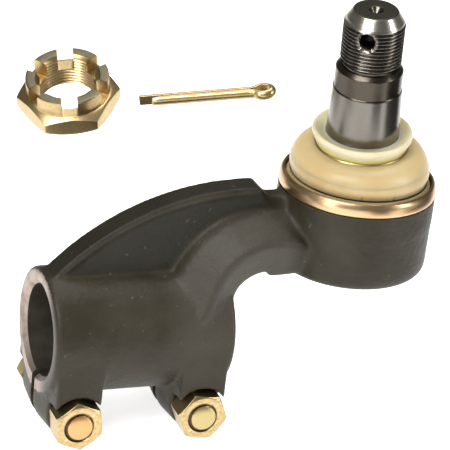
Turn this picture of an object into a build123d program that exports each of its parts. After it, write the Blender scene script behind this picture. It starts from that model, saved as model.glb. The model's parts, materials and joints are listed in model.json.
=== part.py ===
from build123d import *
import os

# Tie rod end for a truck steering linkage: a forged arm with a split clamp at one end
# and a sealed ball joint at the other, with its slotted nut and split pin beside it.
# Origin: the centre of the ball. +Z runs up the housing, the clamp tube lies towards -X,
# and the clamp nuts are on the -Y side. All sizes in millimetres.

# ---- ball joint -----------------------------------------------------------------------
ball_radius = 17.0
ball_clearance = 0.06          # running gap between the ball and its seats
seat_wall = 4.5                # seat material round the ball
seat_clearance = 0.1           # gap round the seats, the cover and the spring
upper_seat_bottom_z = 1.0
upper_seat_shoulder_z = 2.0    # the seat is wedged in a cone above this height
upper_seat_top_z = 9.0
upper_seat_taper = 3.0         # how much the cone closes in towards its top
upper_seat_mouth_step = 1.5    # how far the seat's mouth is inside the ball's equator
lower_seat_top_z = -1.0
lower_seat_floor = 0.2         # seat left under the ball
lower_seat_hole_radius = 6.0
spring_thickness = 1.0
spring_dish = 0.6              # free cone height of the preload spring
spring_hole_radius = 12.0
cover_overlap = 2.5            # how far the cover stands out past the seat bore
cover_thickness = 2.0
cover_dimple_radius = 9.0
cover_dimple_depth = 0.8
circlip_thickness = 1.3
circlip_groove_depth = 1.2
circlip_width = 3.2
circlip_gap = 14.0
circlip_eye_radius = 2.4
circlip_hole_radius = 1.0
seal_wire_radius = 0.85        # section of the cover's seal ring
seal_groove_wall = 0.5         # metal left between the seat bore and the seal groove

# ---- ball housing -------------------------------------------------------------------
housing_wall = 14.2            # from the ball's surface to the outside of the housing
housing_draft = 0.5            # how much smaller the housing is at its bottom edge
housing_rim = 1.0              # rim left below the circlip
housing_bottom_fillet = 4.0
shoulder_z = 9.0               # flat shoulder that carries the boot's retaining ring
shoulder_width = 3.8           # turned neck inside the boot's base
neck_top_z = 15.0
opening_step = 1.0             # how far the throat is inside the ball's equator
opening_flare = 5.0            # how much the throat opens up to the top of the neck

# ---- stud, along its own axis from the ball's centre ----------------------------------
stud_lean_x = 5.14             # rest lean, degrees about X: towards the clamp nuts
stud_lean_y = -3.77            # rest lean, degrees about Y: towards the clamp tube
neck_pin_radius = 10.5         # narrow neck just above the ball
neck_pin_top = 20.0
cone_start = 26.0              # where the tapered seat begins
cone_radius = 14.7             # radius of the taper at its start
cone_taper = 12.0              # 1 in 12 on diameter
cone_top = 54.3
band_height = 8.5              # plain band between the taper and the thread
band_step = 0.35               # how far the band stands below the taper
band_chamfer = 1.6
thread_radius = 12.0           # M24 x 1.5
thread_depth = 0.8
relief_depth = 1.0             # run-out under the thread
relief_height = 2.0
stud_top = 87.7
stud_top_radius = 8.6
stud_top_chamfer = 5.0
centre_hole_radius = 2.6
centre_hole_depth = 3.6
pin_hole_radius = 3.0          # cross hole for the split pin
pin_hole_below_top = 9.0
pin_hole_countersink = 1.2
pin_hole_turn = 36.0           # degrees the cross hole is turned from the -Y side

# ---- dust boot and its rings ------------------------------------------------------------
boot_gap = 0.3                 # air between the boot and the rigid pieces it meets
boot_wall = 2.0
boot_base_step = 2.2           # the boot's bead is this much inside the housing's outside
boot_bulge_step = 3.6
boot_bulge_z = 18.5
boot_crown_drop = 8.4          # from the boot's neck down to where its dome turns over
boot_neck_step = 2.3           # how far the boot's neck stands off the stud's taper
boot_neck_length = 1.7
ring_height = 5.8
ring_wall = 1.2
ring_lip = 2.1                 # how far the ring's rolled lip reaches in over the boot
lip_bottom = 29.6              # along the stud
lip_top = 35.6
lip_bottom_wall = 3.3          # collar's thickness round the taper at its foot
lip_wall = 5.1                 # and at its widest
lip_clearance = 0.08           # running gap between the lip ring and the stud
garter_wire_radius = 0.7       # wire ring that grips the boot's neck

# ---- split clamp tube ---------------------------------------------------------------------
tube_axis_z = -45.6
tube_right_x = -53.8
tube_length = 73.6
tube_bore_radius = 18.2        # core of an M38 x 1.5 thread
tube_wall = 6.9
tube_rim_round = 1.6
tube_mouth_chamfer = 1.9
slot_width = 3.6
lug_width = 22.8               # along the tube
lug_draft = 5.0                # degrees that a lug narrows by, outwards
lug_half_depth = 24.8          # from the slot's middle to each lug's raw outer face
lug_seat = 16.7                # from the slot's middle to the machined seats of head and nut
bolt_below_tube = 4.1          # bolt axis below the bottom of the tube

# ---- gooseneck arm --------------------------------------------------------------------------
ridge_arc_x = -48.0            # where the arm's top edge levels out
ridge_top_z = 12.8
ridge_landing = 0.9            # where the top edge runs out, in from the tube's left end
ridge_sink = 2.0               # and how deep it runs into the tube
ridge_half_width = 5.7
ridge_depth = 3.0              # height of the flange along the top edge
web_half_width = 4.6           # recessed web under the flange
web_step = 0.3
arm_under_z = -19.6
arm_under_radius = 13.0        # inside bend between the arm and the tube's end
beam_top_z = 3.0               # top of the thick lower part where it runs level
beam_start_x = -8.0            # the beam runs level from inside the housing to where it bends
beam_bend_x = -40.0
beam_top_half = 8.0            # half widths of its level stretch: top, side ridge and underside
beam_ridge_half = 20.0
beam_under_half = 15.0
beam_ridge_share = 0.36        # how far down its side the ridge lies
beam_flat_height = 26.0        # the beam's end is trimmed flush with the tube this far round its axis
ring_notch_step = 7.6          # clearance turned in the arm's top round the ring
ring_notch_z = 8.2
arm_edge_round = 2.5

# ---- clamp bolts and nuts (M12) -----------------------------------------------------------------
bolt_radius = 6.0
bolt_hole_clearance = 0.5
bolt_end_chamfer = 1.4
bolt_end_past_nut = 0.8
nut_bore_clearance = 0.05
spot_face_clearance = 0.6      # room round the corners of head and nut
hex_washer_share = 0.95        # flat end of a hexagon, as a share of its width
left_nut_turn = -22.0          # how each nut happens to stop on its bolt, degrees
right_nut_turn = -8.0

# ---- slotted nut and split pin, loose beside the arm -------------------------------------------------
castle_hex_height = 8.4
castle_height = 15.5
castle_crown_step = 1.4        # crown's radius below half the width across flats
castle_slot_width = 6.2
castle_slot_depth = 6.8
castle_bore_chamfer = 1.7
pin_leg_clearance = 0.7        # the pin's legs below the cross hole's radius
pin_leg_gap = 0.15             # between the two flat faces
pin_length = 45.0              # under the eye, on the longer leg
pin_leg_difference = 5.0
pin_eye_length = 7.4           # inside of the eye, from where the legs part
pin_eye_half_width = 1.9       # inside of the eye at its widest
castle_place = (-101.5, 62.4, 27.5)
castle_tilt = (17.2, -13.6, -11.7)     # degrees about X, then Y, then its own axis
split_pin_place = (-71.2, 54.7, 24.9)  # tip of the longer leg
split_pin_turn = (105.0, -10.4, -18.8) # degrees: roll, rise towards the eye, then turn in plan

# ---- values worked out from the ones above --------------------------------------------------
seat_bore_radius = ball_radius + seat_wall
upper_seat_top_radius = seat_bore_radius - upper_seat_taper
opening_radius = ball_radius - opening_step
cover_radius = seat_bore_radius + cover_overlap
lower_seat_bottom_z = -ball_radius - lower_seat_floor
cover_top_z = lower_seat_bottom_z - spring_thickness - spring_dish
cover_bottom_z = cover_top_z - cover_thickness
circlip_bottom_z = cover_bottom_z - circlip_thickness
housing_radius = ball_radius + housing_wall
housing_bottom_z = circlip_bottom_z - housing_rim
neck_radius = housing_radius - shoulder_width
boot_base_radius = housing_radius - boot_base_step
boot_bulge_radius = housing_radius - boot_bulge_step
boot_neck_radius = cone_radius + boot_neck_step
ring_top_z = shoulder_z + ring_height
band_radius = cone_radius - (cone_top - cone_start) / cone_taper / 2 - band_step
relief_radius = thread_radius - relief_depth
thread_bottom = cone_top + band_height + band_chamfer + relief_height
tube_left_x = tube_right_x - tube_length
tube_middle_x = (tube_left_x + tube_right_x) / 2
tube_radius = tube_bore_radius + tube_wall
bolt_z = tube_axis_z - tube_radius - bolt_below_tube
left_bolt_x = tube_left_x + lug_width / 2
right_bolt_x = tube_right_x - lug_width / 2
bolt_hole_radius = bolt_radius + bolt_hole_clearance
bolt_across_flats = 3 * bolt_radius
bolt_head_height = 1.25 * bolt_radius
clamp_nut_height = 1.8 * bolt_radius
bolt_length = 2 * lug_seat + clamp_nut_height + bolt_end_past_nut
spot_face_radius = bolt_across_flats / 3 ** 0.5 + spot_face_clearance
ridge_drop = ridge_top_z - (tube_axis_z + tube_radius - ridge_sink)
ridge_run = ridge_arc_x - (tube_left_x + ridge_landing)
ridge_arc_radius = (ridge_drop ** 2 + ridge_run ** 2) / (2 * ridge_drop)
ridge_arc_z = ridge_top_z - ridge_arc_radius
castle_across_flats = 3 * thread_radius
castle_crown_radius = castle_across_flats / 2 - castle_crown_step
castle_bore_radius = thread_radius - thread_depth
pin_leg_radius = pin_hole_radius - pin_leg_clearance
stud_frame = Rot(X=stud_lean_x) * Rot(Y=stud_lean_y)
castle_frame = Pos(*castle_place) * Rot(X=castle_tilt[0]) * Rot(Y=castle_tilt[1]) * Rot(Z=castle_tilt[2])
split_pin_frame = (
    Pos(*split_pin_place) * Rot(Z=split_pin_turn[2]) * Rot(Y=split_pin_turn[1]) * Rot(X=split_pin_turn[0])
)
reach = 400.0                  # longer than anything here, for cutting right through


def cone_radius_at(height):
    """Radius of the stud's taper at a height along the stud."""
    return cone_radius - (height - cone_start) / cone_taper / 2


def turned(points):
    """Solid of revolution about Z from (radius, height) corners."""
    corners = [(radius, 0, height) for radius, height in points]
    outline = Polyline(*corners, close=True)
    return revolve(make_face(outline), Axis.Z)


def ring_of_wire(radius, height, wire_radius):
    """A round-wire ring about Z."""
    section = Pos(radius, 0, height) * Rot(X=90) * Circle(wire_radius)
    return revolve(section, Axis.Z)


def hexagon_bar(across_flats, height):
    """Hexagonal bar standing on Z = 0, with two flats square to Y."""
    return extrude(RegularPolygon(across_flats / 2, 6, major_radius=False), height)


def corner_cone(across_flats, height, both_ends):
    """The turned shape that takes the corners off a hexagon at the usual 30 degrees."""
    corner = across_flats / 3 ** 0.5
    flat = across_flats / 2 * hex_washer_share
    drop = (corner - flat) / 3 ** 0.5
    wide = corner * 1.001
    foot = [(0, 0), (flat, 0), (wide, drop)] if both_ends else [(0, 0), (wide, 0)]
    head = [(wide, height - drop), (flat, height), (0, height)]
    return turned(foot + head)


# ---- forged body ----------------------------------------------------------------------------
def housing_blank():
    """Drafted round housing with the neck for the boot on top."""
    height = shoulder_z - housing_bottom_z
    pot = Pos(0, 0, (shoulder_z + housing_bottom_z) / 2) * Cone(
        housing_radius - housing_draft, housing_radius, height
    )
    pot = fillet(pot.edges().sort_by(Axis.Z)[0], housing_bottom_fillet)
    neck = Pos(0, 0, (shoulder_z + neck_top_z) / 2) * Cylinder(neck_radius, neck_top_z - shoulder_z)
    return pot + neck


def housing_cavity():
    """Everything turned out of the housing: throat, seat bore, seal groove, cover and circlip bores."""
    groove_inner = seat_bore_radius + seal_groove_wall
    groove_outer = groove_inner + 2 * seal_wire_radius
    groove_top = cover_top_z + 2 * seal_wire_radius
    cover_bore = cover_radius + seat_clearance
    bore = turned([
        (0, housing_bottom_z - 1),
        (cover_bore, housing_bottom_z - 1),
        (cover_bore, circlip_bottom_z),
        (cover_bore + circlip_groove_depth, circlip_bottom_z),
        (cover_bore + circlip_groove_depth, cover_bottom_z),
        (cover_bore, cover_bottom_z),
        (cover_bore, cover_top_z),
        (seat_bore_radius, cover_top_z),
        (seat_bore_radius, upper_seat_shoulder_z),
        (upper_seat_top_radius, upper_seat_top_z),
        (opening_radius, upper_seat_top_z),
        (opening_radius, upper_seat_top_z + 1),
        (opening_radius + opening_flare, neck_top_z),
        (opening_radius + opening_flare, neck_top_z + 1),
        (0, neck_top_z + 1),
    ])
    groove = turned([
        (groove_inner, cover_top_z - 0.5),
        (groove_outer, cover_top_z - 0.5),
        (groove_outer, groove_top),
        (groove_inner, groove_top),
    ])
    return bore + groove


def clamp_lug(bolt_x):
    """Pair of rounded clamp lugs below the tube, before the slot is sawn."""
    drop = tube_axis_z - bolt_z
    side_view = Pos(0, drop / 2) * Rectangle(lug_width, drop) + Circle(lug_width / 2)
    outwards = Pos(bolt_x, 0, bolt_z) * Rot(X=90)
    lugs = []
    for side in (1, -1):
        lugs.append(extrude(outwards * side_view, side * lug_half_depth, taper=lug_draft))
    return lugs


def spot_faces(bolt_x):
    """What the cutter clears round a bolt's head and nut, down to their seats."""
    cutters = []
    for side in (1, -1):
        middle_y = side * (lug_seat + reach / 2)
        round_cut = Pos(bolt_x, middle_y, bolt_z) * Rot(X=90) * Cylinder(spot_face_radius, reach)
        below = Pos(bolt_x, middle_y, bolt_z - reach / 2) * Box(2 * spot_face_radius, reach, reach)
        cutters.append(round_cut + below)
    return cutters


def arm_side_outline(grow):
    """Side view of the whole arm between its long top arc and the tube, moved inwards by grow."""
    radius = ridge_arc_radius - grow
    middle = ridge_arc_x
    rise = ridge_arc_radius - ridge_drop
    left_x = middle - (radius ** 2 - rise ** 2) ** 0.5
    arc_mid_x = (left_x + middle) / 2
    arc_mid_z = ridge_arc_z + (radius ** 2 - (arc_mid_x - middle) ** 2) ** 0.5
    bend_x = tube_right_x - arm_under_radius
    bend_z = arm_under_z - arm_under_radius
    half_turn = arm_under_radius / 2 ** 0.5
    top = ThreePointArc((left_x, ridge_arc_z + rise), (arc_mid_x, arc_mid_z), (middle, ridge_arc_z + radius))
    to_housing = Line((middle, ridge_arc_z + radius), (0, ridge_arc_z + radius))
    inside_housing = Line((0, ridge_arc_z + radius), (0, arm_under_z))
    under = Line((0, arm_under_z), (bend_x, arm_under_z))
    bend = ThreePointArc(
        (bend_x, arm_under_z),
        (bend_x + half_turn, bend_z + half_turn),
        (tube_right_x, bend_z),
    )
    down = Line((tube_right_x, bend_z), (tube_right_x, tube_axis_z))
    along_tube = Line((tube_right_x, tube_axis_z), (left_x, tube_axis_z))
    close = Line((left_x, tube_axis_z), (left_x, ridge_arc_z + rise))
    return make_face(top + to_housing + inside_housing + under + bend + down + along_tube + close)


def plate_from_side_view(face, half_width):
    """Plate of the given side view, half_width to each side of the middle plane."""
    return extrude(Rot(X=90) * face, half_width, both=True)


def arm_web():
    """Recessed web with a flange along the top arc."""
    web = plate_from_side_view(arm_side_outline(web_step), web_half_width)
    outer = plate_from_side_view(arm_side_outline(0), ridge_half_width)
    inner = plate_from_side_view(arm_side_outline(ridge_depth), ridge_half_width + 1)
    return web + (outer - inner)


def beam_section(outer, inner, outer_half, ridge_half, inner_half, ridge_share):
    """Rounded six-sided section between an outer and an inner point of the side view."""
    start = Vector(outer[0], 0, outer[1])
    finish = Vector(inner[0], 0, inner[1])
    down = finish - start
    depth = down.length
    plane = Plane(origin=start, x_dir=(0, 1, 0), z_dir=Vector(0, 1, 0).cross(down))
    side = 1 if plane.y_dir.dot(down) > 0 else -1
    ridge = side * depth * ridge_share
    far = side * depth
    outline = Polyline(
        (-outer_half, 0), (outer_half, 0), (ridge_half, ridge), (inner_half, far),
        (-inner_half, far), (-ridge_half, ridge), close=True,
    )
    section = make_face(outline)
    section = fillet(section.vertices(), arm_edge_round)
    return plane * section


def arm_beam():
    """The thick lower part of the arm, from inside the housing round the bend into the tube."""
    sections = []
    for x in (beam_start_x, beam_bend_x):
        sections.append(beam_section(
            (x, beam_top_z), (x, arm_under_z), beam_top_half, beam_ridge_half, beam_under_half, beam_ridge_share
        ))
    # outer point, inner point, half widths at the top, the ridge and underneath, and the ridge's share of the depth
    bend = (
        ((-55.5, 0.5), (-45.4, -20.8), 8.5, 20.2, 15.0, 0.42),
        ((-65.5, -6.0), (-50.9, -25.0), 9.0, 20.6, 15.2, 0.47),
        ((-73.0, -16.0), (tube_right_x + 0.4, -33.0), 10.0, 22.0, 15.8, 0.47),
        ((-80.0, -29.0), (tube_right_x - 3.0, -47.0), 13.0, 24.2, 17.0, 0.42),
    )
    sections += [beam_section(*row) for row in bend]
    return loft(sections)


def forged_body():
    """One forging: ball housing, gooseneck arm, split clamp tube and its four lugs."""
    tube = Pos(tube_middle_x, 0, tube_axis_z) * Rot(Y=90) * Cylinder(tube_radius, tube_length)
    tube = fillet(tube.edges().filter_by(GeomType.CIRCLE), tube_rim_round)
    end_trim = Pos(tube_right_x + reach / 2, 0, tube_axis_z) * Box(reach, reach, beam_flat_height)
    beam = arm_beam() - end_trim
    body = housing_blank() + tube + arm_web() + beam
    for bolt_x in (left_bolt_x, right_bolt_x):
        body += clamp_lug(bolt_x)
        body -= spot_faces(bolt_x)
    notch_top = ridge_top_z + 20
    notch_radius = housing_radius + ring_notch_step
    body -= turned([
        (neck_radius, shoulder_z),
        (housing_radius, shoulder_z),
        (housing_radius, ring_notch_z),
        (notch_radius, ring_notch_z),
        (notch_radius + notch_top - ring_notch_z, notch_top),
        (neck_radius, notch_top),
    ])
    body -= turned([(0, neck_top_z), (neck_radius + 1, neck_top_z), (neck_radius + 1, reach), (0, reach)])
    body -= housing_cavity()
    body -= Pos(tube_middle_x, 0, tube_axis_z) * Rot(Y=90) * Cylinder(tube_bore_radius, reach / 2)
    mouth = tube_bore_radius + tube_mouth_chamfer
    for end_x, side in ((tube_left_x, 1), (tube_right_x, -1)):
        body -= Pos(end_x + side * tube_mouth_chamfer / 2, 0, tube_axis_z) * Rot(Y=90) * Cone(
            mouth if side > 0 else tube_bore_radius,
            tube_bore_radius if side > 0 else mouth,
            tube_mouth_chamfer,
        )
    slot_height = tube_axis_z - bolt_z + lug_width
    body -= Pos(tube_middle_x, 0, tube_axis_z - slot_height / 2) * Box(tube_length + 2, slot_width, slot_height)
    for bolt_x in (left_bolt_x, right_bolt_x):
        body -= Pos(bolt_x, 0, bolt_z) * Rot(X=90) * Cylinder(bolt_hole_radius, reach / 2)
    return body


# ---- inside the ball joint --------------------------------------------------------------------
def ball_space():
    """The ball grown by its running clearance."""
    return Sphere(ball_radius + ball_clearance)


def upper_seat():
    """Upper bearing seat, wedged in the cone under the housing's throat."""
    gap = seat_clearance
    mouth = ball_radius - upper_seat_mouth_step
    ring = turned([
        (mouth, upper_seat_bottom_z),
        (seat_bore_radius - gap, upper_seat_bottom_z),
        (seat_bore_radius - gap, upper_seat_shoulder_z - gap),
        (upper_seat_top_radius - gap, upper_seat_top_z - gap),
        (mouth, upper_seat_top_z - gap),
    ])
    return ring - ball_space()


def lower_seat():
    """Lower bearing seat, pressed up against the ball by the spring."""
    blank = turned([
        (lower_seat_hole_radius, lower_seat_bottom_z),
        (seat_bore_radius - seat_clearance, lower_seat_bottom_z),
        (seat_bore_radius - seat_clearance, lower_seat_top_z),
        (lower_seat_hole_radius, lower_seat_top_z),
    ])
    return blank - ball_space()


def preload_spring():
    """Dished spring washer between the lower seat and the cover."""
    top = lower_seat_bottom_z
    edge = seat_bore_radius - 10 * seat_clearance
    return turned([
        (spring_hole_radius, top),
        (spring_hole_radius, top - spring_thickness),
        (edge, top - spring_thickness - spring_dish),
        (edge, top - spring_dish),
    ])


def cover_plate():
    """Round bottom cover with a pressed dimple."""
    return turned([
        (0, cover_top_z - cover_dimple_depth),
        (cover_dimple_radius - cover_dimple_depth, cover_top_z - cover_dimple_depth),
        (cover_dimple_radius, cover_top_z),
        (cover_radius, cover_top_z),
        (cover_radius, cover_bottom_z),
        (cover_dimple_radius, cover_bottom_z),
        (cover_dimple_radius - cover_dimple_depth, cover_bottom_z - cover_dimple_depth),
        (0, cover_bottom_z - cover_dimple_depth),
    ])


def cover_seal():
    """Round rubber seal ring in the groove above the cover."""
    middle = seat_bore_radius + seal_groove_wall + seal_wire_radius
    return ring_of_wire(middle, cover_top_z + seal_wire_radius, seal_wire_radius - 0.02)


def cover_circlip():
    """Inside circlip that holds the cover, with a gap and two plier eyes."""
    outer = cover_radius + seat_clearance + circlip_groove_depth - 0.1
    middle_z = (cover_bottom_z + circlip_bottom_z) / 2
    ring = Cylinder(outer, circlip_thickness) - Cylinder(outer - circlip_width, circlip_thickness)
    ring -= Pos(outer, 0, 0) * Box(4 * circlip_width, circlip_gap, circlip_thickness)
    eye_x = cover_radius - circlip_eye_radius - 0.4
    for side in (1, -1):
        eye = Pos(eye_x, side * (circlip_gap / 2 + circlip_eye_radius * 0.6), 0)
        ring += eye * Cylinder(circlip_eye_radius, circlip_thickness)
        ring -= eye * Cylinder(circlip_hole_radius, circlip_thickness)
    return Pos(0, 0, middle_z) * ring


# ---- stud -----------------------------------------------------------------------------------------
def ball_stud():
    """Ball, neck, taper, plain band and thread in one piece, with the split pin's cross hole."""
    band_top = cone_top + band_height
    shank = turned([
        (0, 0),
        (neck_pin_radius, 0),
        (neck_pin_radius, neck_pin_top),
        (cone_radius, cone_start),
        (cone_radius_at(cone_top), cone_top),
        (band_radius, cone_top + band_step),
        (band_radius, band_top),
        (band_radius - band_chamfer, band_top + band_chamfer),
        (relief_radius, band_top + band_chamfer),
        (relief_radius, thread_bottom - relief_depth),
        (thread_radius, thread_bottom),
        (thread_radius, stud_top - stud_top_chamfer),
        (stud_top_radius, stud_top),
        (centre_hole_radius, stud_top),
        (0, stud_top - centre_hole_depth),
    ])
    stud = Sphere(ball_radius) + shank
    hole_frame = Pos(0, 0, stud_top - pin_hole_below_top) * Rot(Z=-pin_hole_turn) * Rot(X=90)
    stud -= hole_frame * Cylinder(pin_hole_radius, 4 * thread_radius)
    sink_radius = pin_hole_radius + pin_hole_countersink
    sink_depth = pin_hole_countersink + 1.0
    for side in (1, -1):
        sink = Pos(0, 0, side * (thread_radius - sink_depth / 2 + 0.5)) * Cone(
            pin_hole_radius if side > 0 else sink_radius,
            sink_radius if side > 0 else pin_hole_radius,
            sink_depth,
        )
        stud -= hole_frame * sink
    return stud_frame * stud


# ---- boot ---------------------------------------------------------------------------------------------
def boot():
    """Dust boot: a dome from the housing's neck up to the stud, leaning with the stud."""
    base_z = shoulder_z + boot_gap
    base_inner = neck_radius + boot_gap
    straight_z = ring_top_z
    neck_end = lip_bottom - 0.1
    neck_start = neck_end - boot_neck_length
    turn_over = neck_start - boot_crown_drop * 0.7
    span = boot_bulge_radius - boot_neck_radius
    steps = (
        (base_z, boot_base_radius, base_inner, 0.0),
        (straight_z, boot_base_radius - boot_gap, base_inner, 0.0),
        (boot_bulge_z, boot_bulge_radius, boot_bulge_radius - boot_wall, 0.1),
        (turn_over, boot_neck_radius + span * 0.95, boot_neck_radius + span * 0.95 - boot_wall, 0.3),
        (neck_start - boot_crown_drop * 0.3, boot_neck_radius + span * 0.72,
         boot_neck_radius + span * 0.72 - boot_wall, 0.55),
        (neck_start - boot_crown_drop * 0.08, boot_neck_radius + span * 0.3,
         boot_neck_radius + span * 0.3 - boot_wall, 0.85),
        (neck_start, boot_neck_radius, boot_neck_radius - boot_wall, 0.95),
        (neck_end, boot_neck_radius, boot_neck_radius - boot_wall, 1.0),
    )
    outers = []
    inners = []
    for height, outer, inner, share in steps:
        frame = Rot(X=stud_lean_x * share) * Rot(Y=stud_lean_y * share) * Pos(0, 0, height)
        outers.append(frame * Circle(outer))
        inners.append(frame * Circle(inner))
    return loft(outers, ruled=True) - loft(inners, ruled=True)


def boot_base_ring():
    """Rounded band that holds the boot's base down on the housing's shoulder."""
    top = ring_top_z
    outer = housing_radius
    inner = outer - ring_wall
    lip = outer - ring_lip
    return turned([
        (inner, shoulder_z),
        (outer - 0.35, shoulder_z),
        (outer, shoulder_z + 1.2),
        (outer, top - 3.2),
        (outer - 0.7, top - 1.2),
        (outer - 1.7, top),
        (lip, top),
        (lip, top - 0.6),
        (inner - 0.4, top - ring_wall - 0.2),
        (inner, top - ring_wall - 1.0),
    ])


def boot_bead_wire():
    """Wire ring inside the retaining band, over the boot's bead."""
    ring_inner = housing_radius - ring_wall
    middle = (boot_base_radius + ring_inner) / 2
    return ring_of_wire(middle, shoulder_z + 2.0, (ring_inner - boot_base_radius) / 2 - 0.05)


def boot_lip_ring():
    """Collar that seals the boot's neck on the stud's taper."""
    bottom_bore = cone_radius_at(lip_bottom) + lip_clearance
    top_bore = cone_radius_at(lip_top) + lip_clearance
    widest = cone_radius + lip_wall
    collar = turned([
        (bottom_bore, lip_bottom),
        (cone_radius + lip_bottom_wall, lip_bottom),
        (widest - 0.5, lip_top - 2.6),
        (widest, lip_top - 1.6),
        (widest - 0.5, lip_top - 0.2),
        (widest - 1.2, lip_top),
        (top_bore + 0.8, lip_top),
        (top_bore, lip_top - 0.8),
    ])
    return stud_frame * collar


def boot_garter_wire():
    """Wire ring round the boot's neck, just under the lip ring."""
    middle = boot_neck_radius + garter_wire_radius + 0.05
    return stud_frame * ring_of_wire(middle, lip_bottom - garter_wire_radius, garter_wire_radius)


# ---- clamp bolts and nuts --------------------------------------------------------------------------------
def clamp_bolt(bolt_x):
    """Hexagon bolt through a pair of lugs, its head on the +Y side."""
    head = hexagon_bar(bolt_across_flats, bolt_head_height)
    head &= corner_cone(bolt_across_flats, bolt_head_height, False)
    end = bolt_radius - bolt_end_chamfer
    shank = turned([
        (0, 0),
        (bolt_radius, 0),
        (bolt_radius, -bolt_length + bolt_end_chamfer * 0.7),
        (end, -bolt_length),
        (0, -bolt_length - 0.3),
    ])
    return Pos(bolt_x, lug_seat, bolt_z) * Rot(X=-90) * (head + shank)


def clamp_nut(bolt_x, turn):
    """Hexagon nut on the bolt's end, on the seat of the -Y lug."""
    nut = hexagon_bar(bolt_across_flats, clamp_nut_height)
    nut &= corner_cone(bolt_across_flats, clamp_nut_height, True)
    bore = bolt_radius + nut_bore_clearance
    nut -= Cylinder(bore, 3 * clamp_nut_height)
    return Pos(bolt_x, -lug_seat, bolt_z) * Rot(X=90) * Rot(Z=turn) * nut


# ---- slotted nut and split pin ------------------------------------------------------------------------------
def castle_nut():
    """Hexagon nut with a round crown of six slots, standing with its axis on Z."""
    body = hexagon_bar(castle_across_flats, castle_hex_height)
    body &= corner_cone(castle_across_flats, castle_hex_height, True)
    crown = Pos(0, 0, castle_height / 2) * Cylinder(castle_crown_radius, castle_height)
    crown = fillet(crown.edges().sort_by(Axis.Z)[-1], 1.0)
    body += crown
    body -= Cylinder(castle_bore_radius, 4 * castle_height)
    mouth = castle_bore_radius + castle_bore_chamfer
    body -= Pos(0, 0, castle_height - castle_bore_chamfer / 2) * Cone(
        castle_bore_radius, mouth, castle_bore_chamfer
    )
    body -= Pos(0, 0, castle_bore_chamfer / 2) * Cone(mouth, castle_bore_radius, castle_bore_chamfer)
    slot_floor = castle_height - castle_slot_depth
    for turn in (0, 60, 120):
        body -= Rot(Z=turn) * Pos(0, 0, (slot_floor + castle_height + 1) / 2) * Box(
            castle_slot_width, 3 * castle_across_flats, castle_slot_depth + 1
        )
    return castle_frame * Pos(0, 0, -castle_height / 2) * body


def pin_eye():
    """The eye: the half-round wire carried on from one leg, round and back into the other."""
    gap = pin_leg_gap / 2
    widest_x = pin_length + pin_eye_length * 0.6
    inside = Spline(
        (pin_length, 0, gap),
        (widest_x, 0, pin_eye_half_width),
        (pin_length + pin_eye_length, 0, 0),
        (widest_x, 0, -pin_eye_half_width),
        (pin_length, 0, -gap),
        tangents=((1, 0, 0), (-1, 0, 0)),
    )
    across = Plane(origin=(pin_length, 0, gap), x_dir=(0, 1, 0), z_dir=(1, 0, 0))
    half_round = Circle(pin_leg_radius) & Pos(0, pin_leg_radius) * Rectangle(2 * pin_leg_radius, 2 * pin_leg_radius)
    return sweep(across * half_round, path=inside)


def split_pin():
    """Split pin of half-round wire, legs along +X from the longer tip to the eye."""
    half_gap = pin_leg_gap / 2
    legs = []
    for side, start in ((1, pin_leg_difference), (-1, 0)):
        length = pin_length - start
        wire = Pos(start + length / 2, 0, side * half_gap) * Rot(Y=90) * Cylinder(pin_leg_radius, length)
        keep = Pos(start + length / 2, 0, side * (half_gap + pin_leg_radius)) * Box(
            length, 2 * pin_leg_radius, 2 * pin_leg_radius
        )
        legs.append(wire & keep)
    return split_pin_frame * (pin_eye() + legs[0] + legs[1])


def write(name, shape):
    """Write one node's STEP file."""
    export_step(shape, os.path.join("parts", name + ".step"))
    print(name, round(shape.volume, 1), len(shape.solids()))


os.makedirs("parts", exist_ok=True)
write("forged_body", forged_body())
write("upper_bearing_seat", upper_seat())
write("lower_bearing_seat", lower_seat())
write("preload_spring", preload_spring())
write("cover_plate", cover_plate())
write("cover_seal_ring", cover_seal())
write("cover_circlip", cover_circlip())
write("ball_stud", ball_stud())
write("dust_boot", boot())
write("boot_retaining_ring", boot_base_ring())
write("boot_bead_wire", boot_bead_wire())
write("boot_lip_ring", boot_lip_ring())
write("boot_neck_wire", boot_garter_wire())
for side, place in (("left", left_bolt_x), ("right", right_bolt_x)):
    write("clamp_bolt_" + side, clamp_bolt(place))
write("clamp_nut_left", clamp_nut(left_bolt_x, left_nut_turn))
write("clamp_nut_right", clamp_nut(right_bolt_x, right_nut_turn))
write("castle_nut", castle_nut())
write("split_pin", split_pin())
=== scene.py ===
"""Looks of a tie rod end: a forged gooseneck arm with a split clamp tube and a booted ball joint.

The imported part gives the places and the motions; this script gives each piece its shape in
detail and its finish. Sizes inside the piece functions are in millimetres.
"""

import json
from math import asin, cos, exp, pi, radians, sin, sqrt, tan

import bmesh
import bpy
from mathutils import Matrix, Vector


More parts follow.
